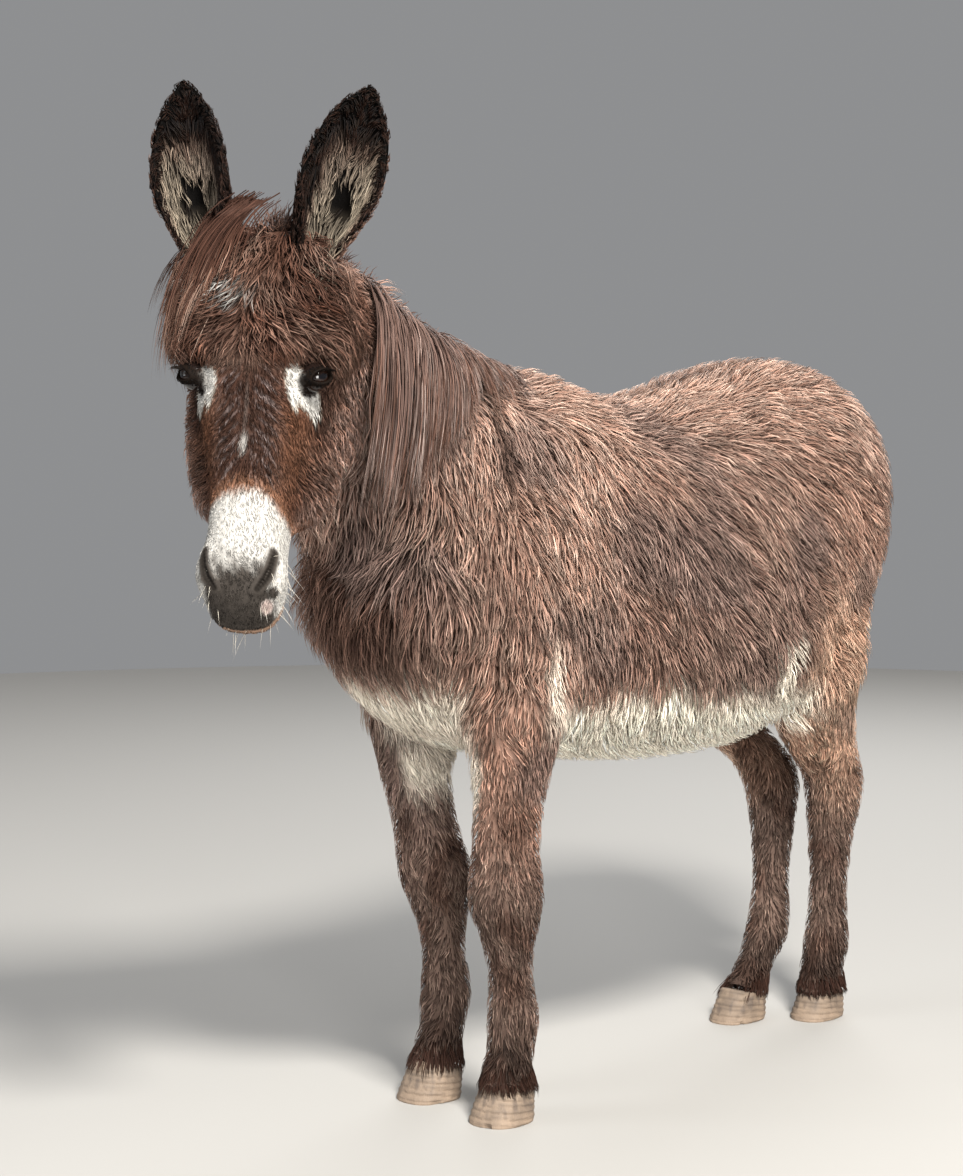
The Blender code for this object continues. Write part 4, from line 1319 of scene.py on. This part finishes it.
MANE_LOCKS, CREST_LOCKS, FORELOCK_LOCKS = 2700, 1300, 320
MANE_RINGS, CREST_RINGS, FORELOCK_RINGS = 8, 4, 9  # the steps in which each lock bends
MANE_PULL = (0.02, -0.34, -1.1)
MANE_SHARES = (0, 0.25, 0.45, 0.62, 1.0)  # from the poll to the withers
MANE_LENGTHS = (0.41, 0.43, 0.31, 0.15, 0.08)


def crest_roots(ground, count, middle_x, spread_x, rng, first):
    """Places along the top of the neck, from poll to withers, at about middle_x to the left of its crest."""
    share = np.sort(rng.uniform(0, 1, count))
    y = np.interp(share, (0, 1), (first, -0.190))
    x = rng.normal(middle_x, spread_x, count)
    start = np.stack((x, y, np.full(count, 1.60)), 1)
    points = np.array([fallback(ground.tree.ray_cast(Vector(p), Vector((0, 0, -1))), p) for p in start])
    return share, points


def make_mane(ground, rng):
    """Long straight locks that fall down the left side of the neck, with short upright ones on top."""
    count = MANE_LOCKS
    share, points = crest_roots(ground, count, 0.026, 0.012, rng, -0.57)
    normals = nearest(ground.tree, points)[1]
    length = np.interp(share, MANE_SHARES, MANE_LENGTHS) * rng.uniform(0.5, 1.08, count)
    way = unit(np.stack((0.8 + 0 * share, rng.normal(-0.40, 0.10, count), -0.30 + 0 * share), 1))
    stand = 0.026 + 0.018 * rng.uniform(0, 1, count)
    lines, outs = walk(ground.neck, points, normals, way, length, stand, MANE_RINGS, pull=MANE_PULL)
    lines = gather(lines, points, 12, 0.5, rng)[0]
    h = in_head(lines.reshape(-1, 3)).reshape(count, -1, 3)
    clear = ((h[..., 1] > -0.14) | (h[..., 2] < -0.052)).all(1)  # of the cheek, which stays bare of the mane
    lines, outs, points, count = lines[clear], outs[clear], points[clear], int(clear.sum())
    base = np.tile(np.array(MANE_BROWN), (count, 1))
    silver = rise(drift(points, 0.015, 31), -0.2, 0.6)
    tip = mix(np.array(CHOCOLATE_TIP) * 0.9, MANE_TIP, silver)
    shades = lock_shades(base, tip, MANE_RINGS + 1, rng, 0.3)
    pieces = [lock_mesh("mane_fall", lines, outs, rng.uniform(0.0020, 0.0044, count), shades,
                        ground.place_of(points))]

    count = CREST_LOCKS
    rings = CREST_RINGS + 1
    share, points = crest_roots(ground, count, 0.004, 0.014, rng, -0.66)
    normals = nearest(ground.tree, points)[1]
    way = unit(np.stack((rng.normal(0.15, 0.45, count), rng.normal(0.25, 0.3, count), np.ones(count)), 1))
    length = np.interp(share, (0, 0.14, 0.30), (0.070, 0.060, 0.044)) * rng.uniform(0.6, 1.1, count)
    line = points[:, None] + way[:, None] * (length[:, None] * np.linspace(0, 1, rings)[None])[..., None]
    line = line + np.array((0.0, 0.3, -1.0)) * (0.010 * np.linspace(0, 1, rings) ** 2)[None, :, None]
    line = curled(line, np.repeat(np.cross(way, (0.0, 1.0, 0.0))[:, None], rings, 1), 0.08 * length, rng)
    base = np.tile(np.array(MANE_BROWN), (count, 1))
    shades = lock_shades(base, np.tile(np.array(CHOCOLATE_TIP), (count, 1)), rings, rng)
    outs = np.repeat(unit(np.cross(way, (0.0, 1.0, 0.1)))[:, None], rings, 1)
    pieces.append(lock_mesh("mane_crest", line, outs, rng.uniform(0.0025, 0.0045, count), shades,
                            ground.place_of(points)))
    return pieces


def make_forelock(ground, rng):
    """Smooth rusty strands from between the ears, swept across and down the right side of the forehead."""
    count = FORELOCK_LOCKS
    start_x, start_y = rng.normal(-0.004, 0.014, count), rng.normal(-0.008, 0.010, count)
    origin = from_head(np.stack((start_x, start_y, np.full(count, 0.10)), 1))
    down = Vector(-HEAD[:, 2])
    points = np.array([fallback(ground.bare.ray_cast(Vector(p), down), p) for p in origin])
    normals = nearest(ground.bare, points)[1]
    aim = np.stack((rng.normal(-0.85, 0.09, count), -np.ones(count) * 0.70, np.full(count, 0.0)), 1)
    length = rng.uniform(0.12, 0.285, count)
    stand = rng.uniform(0.010, 0.034, count)
    pull = np.array((0.0, -0.42, -0.45)) @ HEAD.T
    way = unit(aim) @ HEAD.T
    lines, outs = walk(ground.bare, points, normals, way, length, stand, FORELOCK_RINGS, pull=pull)
    lines = gather(lines, points, 14, 0.55, rng)[0]
    base = np.tile(np.array(CHOCOLATE) * 1.5, (count, 1))
    tip = mix(np.array(RUST) * 1.1 + 0.03, np.array(BROWN_TIP) * 0.72, rng.uniform(0, 1, count) ** 2)
    shades = lock_shades(base, tip, FORELOCK_RINGS + 1, rng, 0.25)
    width = rng.uniform(0.002, 0.0042, count)
    return lock_mesh("forelock", lines, outs, width, shades, ground.place_of(points))


CORONET_BACK = 0.012  # from the middle of the hoof's box to that of its upper rim
CORONET_SIZE = 0.88  # of the hoof's half width and length, just outside its wall near the top
CORONET_DROP = 0.017  # from the hoof's top down to where its hair ends
CORONET_DENSE = 70000  # locks per square metre


def make_coronets(ground, rng):
    """Dark hair that falls from each fetlock out over the top of its hoof."""
    at = ground.points
    upright = rise(np.abs(ground.normals[:, 2]), 0.80, 0.65) * (ground.kind == BODY)
    starts, ends, sides = [], [], []
    for node in HOOVES:
        low, high = (np.array(corner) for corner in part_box(node))
        centre, half = (low + high) / 2, (high - low) / 2
        around = (np.abs(at - centre)[:, :2] < half[:2] + 0.02).all(1)
        top = high[2]
        band = rise(at[:, 2], top - 0.010, top - 0.004) * rise(at[:, 2], top + 0.036, top + 0.024)
        triangle, shares = ground.roots(around * band * upright * CORONET_DENSE, rng)
        start = ground.read(at, triangle, shares)
        leg_middle = at[around & (band > 0.5)].mean(0)
        centre[1] += CORONET_BACK
        away = unit((start - leg_middle) / half * (1, 1, 0))
        end = centre + away * half * CORONET_SIZE
        end[:, 2] = top - CORONET_DROP
        starts.append(start)
        ends.append(end)
        sides.append(unit(ground.read(ground.normals, triangle, shares)))
    start, end, side = np.concatenate(starts), np.concatenate(ends), np.concatenate(sides)
    count = len(start)
    reach = (end - start) * rng.uniform(0.85, 1.35, count)[:, None] + 0.0025 * rng.normal(size=(count, 3))
    share = np.linspace(0, 1, 4)[None, :, None]
    arch = 0.004 * np.sin(math.pi * share) * side[:, None]
    lines = start[:, None] + reach[:, None] * share + arch
    lines = gather(lines, start, 8, 0.5, rng)[0]
    base = np.tile(np.array(CHOCOLATE) * 0.7, (count, 1))
    tip = mix(np.array(CHOCOLATE), SHANK, rng.uniform(0, 1, count))
    shades = lock_shades(base, tip, 4, rng)
    outs = np.repeat(side[:, None], 4, 1)
    width = rng.uniform(0.0018, 0.0034, count)
    return lock_mesh("coronets", lines, outs, width, shades, ground.place_of(start))


TAIL_DENSE = 26000  # locks per square metre
TAIL_RINGS = 8


def make_tail_hair(ground, rng):
    """The switch: long dark locks from the lower half of the dock, hanging close together."""
    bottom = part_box("tail")[0].z
    part = parts_of(ground.labels)
    reach = rise(ground.points[:, 2], 0.92, 0.70) * (part["tail"] > 0.5)
    triangle, shares = ground.roots(reach * TAIL_DENSE, rng)
    points = ground.read(ground.points, triangle, shares)
    normals = unit(ground.read(ground.normals, triangle, shares))
    count = len(points)
    way = np.stack((rng.normal(0, 0.12, count), rng.normal(0, 0.12, count), -np.ones(count)), 1)
    way = unit(way + 0.15 * normals)
    length = np.minimum(rng.uniform(0.14, 0.30, count), points[:, 2] - bottom)
    stand = np.full(count, 0.010)
    lines, outs = walk(ground.tree, points, normals, way, length, stand, TAIL_RINGS, pull=(0.0, 0.0, -0.6))
    lines = gather(lines, points, 14, 0.55, rng)[0]
    base = np.tile(np.array(MANE_BROWN) * 0.7, (count, 1))
    tip = np.tile(np.array(MANE_TIP) * 0.7, (count, 1))
    shades = lock_shades(base, tip, TAIL_RINGS + 1, rng)
    width = rng.uniform(0.0025, 0.005, count)
    return lock_mesh("tail_hair", lines, outs, width, shades, ground.place_of(points))


WHISKERS = 110
WHISKER_WIDTH, LASH_WIDTH = 0.0007, 0.0011
LASHES = 46  # on each upper lid


def make_whiskers(ground, rng):
    """Long fine pale hairs, bent by their own weight, on the lips, the chin and round the nostrils."""
    count = WHISKERS
    h = np.stack((rng.uniform(-0.055, 0.055, count), rng.uniform(-0.560, -0.470, count),
                  rng.uniform(-0.09, 0.03, count)), 1)
    h = h[(np.abs(h[:, 0]) > 0.036) | (h[:, 2] < -0.05)]
    count = len(h)
    points, normals = nearest(ground.tree, from_head(h))
    local = normals @ HEAD
    low = rise(in_head(points)[:, 2], 0.01, -0.06)
    way = unit(local + np.array((0.0, -0.7, -0.2)) + 0.35 * rng.normal(size=local.shape)) @ HEAD.T
    length = rng.uniform(0.008, 0.018, count) + 0.030 * low * rng.uniform(0, 1, count)
    share = np.linspace(0, 1, 6)[None, :, None]
    lines = points[:, None] + way[:, None] * length[:, None, None] * share
    lines = lines + np.array((0, 0, -0.30)) * length[:, None, None] * share ** 2
    outs = np.repeat(unit(np.cross(way, (0.3, 0.2, 0.9)))[:, None], 6, 1)
    base = np.tile(np.array(CREAM) * 0.7, (count, 1))
    shades = lock_shades(base, np.tile(np.array(WHITE), (count, 1)), 6, rng)
    width = np.full(count, WHISKER_WIDTH)
    return lock_mesh("whiskers", lines, outs, width, shades, ground.place_of(points), flat=0.8)


def make_lashes(ground, rng):
    """Dark lashes along each upper lid, curving out and down."""
    lines, outs = [], []
    for side in (LEFT, RIGHT):
        centre, radius, out, slit, across = eye_frame(side)
        turn = np.linspace(0.12, 0.88, LASHES) * math.pi + rng.normal(0, 0.02, LASHES)
        u = EYE_HALF * np.cos(turn)
        v = LID_UPPER * np.sin(turn) ** 1.25 + 0.001
        height = np.sqrt((radius + 0.003) ** 2 - u * u - v * v)
        start = centre + u[:, None] * slit + v[:, None] * across + height[:, None] * out
        way = unit(out + 0.25 * across + (0.5 * np.cos(turn))[:, None] * slit)
        share = np.linspace(0, 1, 5)[None, :, None]
        length = rng.uniform(0.010, 0.017, (LASHES, 1, 1))
        line = start[:, None] + way[:, None] * length * share + np.array((0, 0, -0.45)) * length * share ** 2
        lines.append(line)
        outs.append(np.repeat(np.broadcast_to(across, (LASHES, 1, 3)), 5, 1))
    lines, outs = np.concatenate(lines), np.concatenate(outs)
    count = len(lines)
    base = np.tile(np.array(BLACK), (count, 1))
    shades = lock_shades(base, base * 2, 5, rng)
    width = np.full(count, LASH_WIDTH)
    return lock_mesh("lashes", lines, outs, width, shades, ground.place_of(lines[:, 0]), flat=0.8)


# ---------------------------------------------------------------- eyes and hooves

CORNEA = 0.0012  # how far the ball bulges at its front
PUPIL_HALF = (0.0075, 0.0036)
WHITE_OF_EYE, IRIS, PUPIL = (0.010, 0.006, 0.005), (0.012, 0.005, 0.003), (0.002, 0.002, 0.003)


def make_eye(side):
    """A ball with a slight bulge at its front, where the cornea is, and a dark iris with a level pupil."""
    centre, radius, out, slit, _ = eye_frame(side)
    rows, columns = 40, 56
    polar = np.linspace(0, math.pi, rows)
    turn = np.linspace(0, 2 * math.pi, columns, endpoint=False)
    t, a = np.meshgrid(polar, turn, indexing="ij")
    bulge = radius - CORNEA + CORNEA * np.exp(-((t / 0.55) ** 4))
    local = np.stack((np.sin(t) * np.cos(a), np.sin(t) * np.sin(a), np.cos(t)), 2) * bulge[..., None]
    flat = local[1:-1].reshape(-1, 3)
    ends = np.array(((0, 0, local[0, 0, 2]), (0, 0, local[-1, 0, 2])))
    local = np.concatenate((flat, ends))
    basis = np.array((slit, np.cross(out, slit), out))
    points = local @ basis + centre
    k, i = np.meshgrid(np.arange(rows - 3), np.arange(columns), indexing="ij")
    k, i = k.ravel(), i.ravel()
    nxt = (i + 1) % columns
    row, below = k * columns, (k + 1) * columns
    faces = np.stack((row + i, below + i, below + nxt, row + nxt), 1).tolist()
    top, bottom = len(flat), len(flat) + 1
    last = (rows - 3) * columns
    faces += [(top, j, (j + 1) % columns) for j in range(columns)]
    faces += [(bottom, last + (j + 1) % columns, last + j) for j in range(columns)]
    eye = new_piece("eyeball_left" if side > 0 else "eyeball_right", points, faces)
    from_front = np.arctan2(np.hypot(local[:, 0], local[:, 1]), local[:, 2])
    from_pupil = np.hypot(local[:, 0] / PUPIL_HALF[0], local[:, 1] / PUPIL_HALF[1])
    pupil = rise(from_pupil, 1.15, 0.9) * (local[:, 2] > 0)
    iris = rise(from_front, 0.66, 0.58)
    streaks = 0.75 + 0.25 * np.sin(np.arctan2(local[:, 1], local[:, 0]) * 23)
    colour = mix(WHITE_OF_EYE, IRIS, iris) * streaks[:, None]
    point_colours(eye.data, mix(colour, PUPIL, pupil))
    eye.data.materials.append(eye_finish())
    return eye


RING_SPACING, RING_HEIGHT = 0.0095, 0.0009  # of the horn's growth rings
CHIP_DEPTH = 0.0050
HORN, HORN_DARK, HORN_STREAK = (0.215, 0.158, 0.112), (0.070, 0.052, 0.040), (0.060, 0.045, 0.038)
DUST = (0.250, 0.182, 0.128)


def make_hoof(node):
    """The solid's shape, rounded and split finer, with growth rings, a worn edge and a few chips."""
    bm = bmesh.new()
    bm.from_mesh(nodes[node].data)
    bmesh.ops.remove_doubles(bm, verts=bm.verts, dist=1e-6)
    bmesh.ops.dissolve_limit(bm, angle_limit=0.01, verts=bm.verts, edges=bm.edges)
    bmesh.ops.triangulate(bm, faces=bm.faces)
    for _ in range(3):
        bmesh.ops.subdivide_edges(bm, edges=[e for e in bm.edges if e.calc_length() > 0.0035], cuts=1)
        bmesh.ops.triangulate(bm, faces=bm.faces)
    hoof = new_piece(node.replace("hoof", "horn"), [], [])
    bm.to_mesh(hoof.data)
    bm.free()
    low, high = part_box(node)
    edges = edges_of(hoof.data)
    points = coordinates(hoof.data)
    eased = relax(points, edges, 3)
    sole = points[:, 2] < low.z + 0.0015
    eased[sole, 2] = points[sole, 2]
    normals = normals_of(hoof.data)
    centre = (np.array(low) + np.array(high)) / 2
    height = (eased[:, 2] - low.z) / (high.z - low.z)
    slope = eased[:, 2] + 0.10 * (eased[:, 1] - centre[1])
    rings = np.sin(slope * 2 * math.pi / RING_SPACING + 1.5 * drift(eased, 0.05, 41))
    rings = rings + 0.4 * drift(eased, 0.012, 42)
    wall = rise(height, 0.02, 0.10) * rise(height, 1.0, 0.9) * (1 - rise(np.abs(normals[:, 2]), 0.6, 0.9))
    chips = rise(drift(eased * (1, 1, 0.3), 0.022, 43), 0.35, 0.8) * rise(height, 0.16, 0.0)
    eased = eased + normals * (RING_HEIGHT * rings * wall - CHIP_DEPTH * chips)[:, None] * (1, 1, 0)
    set_coordinates(hoof.data, eased)
    tone = 0.5 + 0.5 * drift(eased, 0.03, 44)
    colour = mix(HORN, HORN_DARK, 0.6 * tone + 0.25 * (rings > 0.3))
    dust = rise(height, 0.55, 0.0)
    colour = mix(colour, DUST, 0.45 * dust)
    streak = rise(drift(eased * (1, 1, 0.15), 0.010, 45), 0.2, 0.8)
    colour = mix(colour, HORN_STREAK, 0.55 * streak * rise(height, 0.1, 0.4))
    point_colours(hoof.data, colour)
    hoof.data.materials.append(horn_finish())
    return hoof


# ---------------------------------------------------------------- finishes

def finish_base(name, roughness):
    """The material of this name, and its shader when it is new, or None when it is made already."""
    material = bpy.data.materials.get(name)
    if material:
        return material, None
    material = bpy.data.materials.new(name)
    material.use_nodes = True
    shader = material.node_tree.nodes["Principled BSDF"]
    shader.inputs["Roughness"].default_value = roughness
    return material, shader


def stored_colour(tree):
    """The colour stored at the points."""
    node = tree.nodes.new("ShaderNodeAttribute")
    node.attribute_name = "coat_colour"
    return node.outputs["Color"]


def noise(tree, vector, scale, detail=3.0):
    """A soft random factor over the vector's space."""
    node = tree.nodes.new("ShaderNodeTexNoise")
    node.inputs["Scale"].default_value = scale
    node.inputs["Detail"].default_value = detail
    tree.links.new(vector, node.inputs["Vector"])
    return node.outputs["Fac"]


def shaded(tree, colour, factor, low, high):
    """The colour made darker and lighter by a factor that runs from 0 to 1."""
    reach = tree.nodes.new("ShaderNodeMapRange")
    reach.inputs["To Min"].default_value = low
    reach.inputs["To Max"].default_value = high
    tree.links.new(factor, reach.inputs["Value"])
    scaled = tree.nodes.new("ShaderNodeVectorMath")
    scaled.operation = "SCALE"
    tree.links.new(colour, scaled.inputs["Vector"])
    tree.links.new(reach.outputs["Result"], scaled.inputs["Scale"])
    return scaled.outputs["Vector"]


def bumped(tree, shader, height, distance, strength):
    """Gives the shader fine relief from a height."""
    bump = tree.nodes.new("ShaderNodeBump")
    bump.inputs["Distance"].default_value = distance
    bump.inputs["Strength"].default_value = strength
    tree.links.new(height, bump.inputs["Height"])
    tree.links.new(bump.outputs["Normal"], shader.inputs["Normal"])


def stretched(tree, vector, scale):
    """The vector times a scale of its own for each axis."""
    node = tree.nodes.new("ShaderNodeVectorMath")
    node.operation = "MULTIPLY"
    node.inputs[1].default_value = scale
    tree.links.new(vector, node.inputs[0])
    return node.outputs["Vector"]


def hair_finish():
    """Hair: single strands run along each lock, as streaks of colour and fine relief."""
    material, shader = finish_base("donkey_hair", 0.52)
    if shader:
        tree = material.node_tree
        uv = tree.nodes.new("ShaderNodeUVMap")
        uv.uv_map = "lock"
        strands = noise(tree, stretched(tree, uv.outputs["UV"], (7.0, 0.9, 1.0)), 1.0, 2.0)
        tree.links.new(shaded(tree, stored_colour(tree), strands, 0.35, 1.65), shader.inputs["Base Color"])
        bumped(tree, shader, strands, 0.0012, 0.7)
        shader.inputs["Specular IOR Level"].default_value = 0.06
    return material


def skin_finish():
    """Skin under the coat and bare at the nose: mottled, with fine pores and creases."""
    material, shader = finish_base("donkey_skin", 0.62)
    if shader:
        tree = material.node_tree
        place = tree.nodes.new("ShaderNodeTexCoord").outputs["Object"]
        fine = noise(tree, place, 420.0, 4.0)
        mottled = shaded(tree, stored_colour(tree), noise(tree, place, 60.0), 0.7, 1.3)
        tree.links.new(mottled, shader.inputs["Base Color"])
        bumped(tree, shader, fine, 0.0012, 0.6)
        shader.inputs["Specular IOR Level"].default_value = 0.03
    return material


def eye_finish():
    """A wet dark eye under a clear coat."""
    material, shader = finish_base("donkey_eye", 0.18)
    if shader:
        tree = material.node_tree
        place = tree.nodes.new("ShaderNodeTexCoord").outputs["Object"]
        flecked = shaded(tree, stored_colour(tree), noise(tree, place, 500.0), 0.8, 1.2)
        tree.links.new(flecked, shader.inputs["Base Color"])
        shader.inputs["Specular IOR Level"].default_value = 0.2
        shader.inputs["Coat Weight"].default_value = 0.5
        shader.inputs["Coat Roughness"].default_value = 0.03
    return material


def horn_finish():
    """Dry hoof horn: fine upright fibres over the modelled rings, and dust."""
    material, shader = finish_base("donkey_horn", 0.72)
    if shader:
        tree = material.node_tree
        place = tree.nodes.new("ShaderNodeTexCoord").outputs["Object"]
        fibres = noise(tree, stretched(tree, place, (900.0, 900.0, 90.0)), 1.0, 3.0)
        tree.links.new(shaded(tree, stored_colour(tree), fibres, 0.75, 1.25), shader.inputs["Base Color"])
        bumped(tree, shader, fibres, 0.0006, 0.6)
    return material


# ---------------------------------------------------------------- putting it together

def main():
    """Builds the camera, the studio, the skin, the hair, the eyes and the hooves, and ties them to nodes."""
    make_camera()
    make_studio()
    rng = np.random.default_rng(7)
    skin = make_skin()
    bare = BVHTree.FromObject(skin, bpy.context.evaluated_depsgraph_get())
    facts = joined_skin(skin, bare)
    unwrap(skin)
    ground = Ground(skin, facts, bare)
    part = parts_of(ground.labels)
    base, tip = markings(ground.points, ground.normals, part)
    ear_base = ear_markings(ground.ear)[0]
    on_ear = (ground.kind == EAR_SKIN).astype(float)
    under = mix(base * 0.75 + tip * 0.15, ear_base * 0.12, on_ear)
    h = in_head(ground.points)
    bare_nose = rise(h[:, 1], -0.36, -0.42) * part["head"]
    under = mix(under, base * 0.8 + tip * 0.15, bare_nose * (1 - on_ear))
    lid_dark = (ground.kind == LID) * rise(eye_opening(ground.points), 1.8, 1.4)
    under = mix(under, BLACK, lid_dark)
    point_colours(skin.data, under)
    skin.data.materials.append(skin_finish())
    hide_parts(*FLESH, "ear_left", "ear_right")
    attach(skin, "root")

    hair = make_coat(ground, rng) + make_ear_coat(ground, rng)
    mane = make_mane(ground, rng)
    hair += [make_forelock(ground, rng), make_coronets(ground, rng), make_tail_hair(ground, rng)]
    hair += [make_whiskers(ground, rng), make_lashes(ground, rng)]
    for piece in mane + hair:
        piece.data.materials.append(hair_finish())
        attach(piece, "root")
    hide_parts("mane")
    for side, node in ((LEFT, "eye_left"), (RIGHT, "eye_right")):
        eye = make_eye(side)
        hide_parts(node)
        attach(eye, "root")
    for node in HOOVES:
        hoof = make_hoof(node)
        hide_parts(node)
        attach(hoof, "root")


def eye_opening(points):
    """How far out from the eye's opening a point is: 1 at the rim of the lids."""
    far = []
    for side in (LEFT, RIGHT):
        centre, _, _, slit, across = eye_frame(side)
        u, v = (points - centre) @ slit, (points - centre) @ across
        far.append(np.hypot(u / EYE_HALF, v / np.where(v > 0, LID_UPPER, LID_LOWER)))
    return np.minimum(*far)


main()
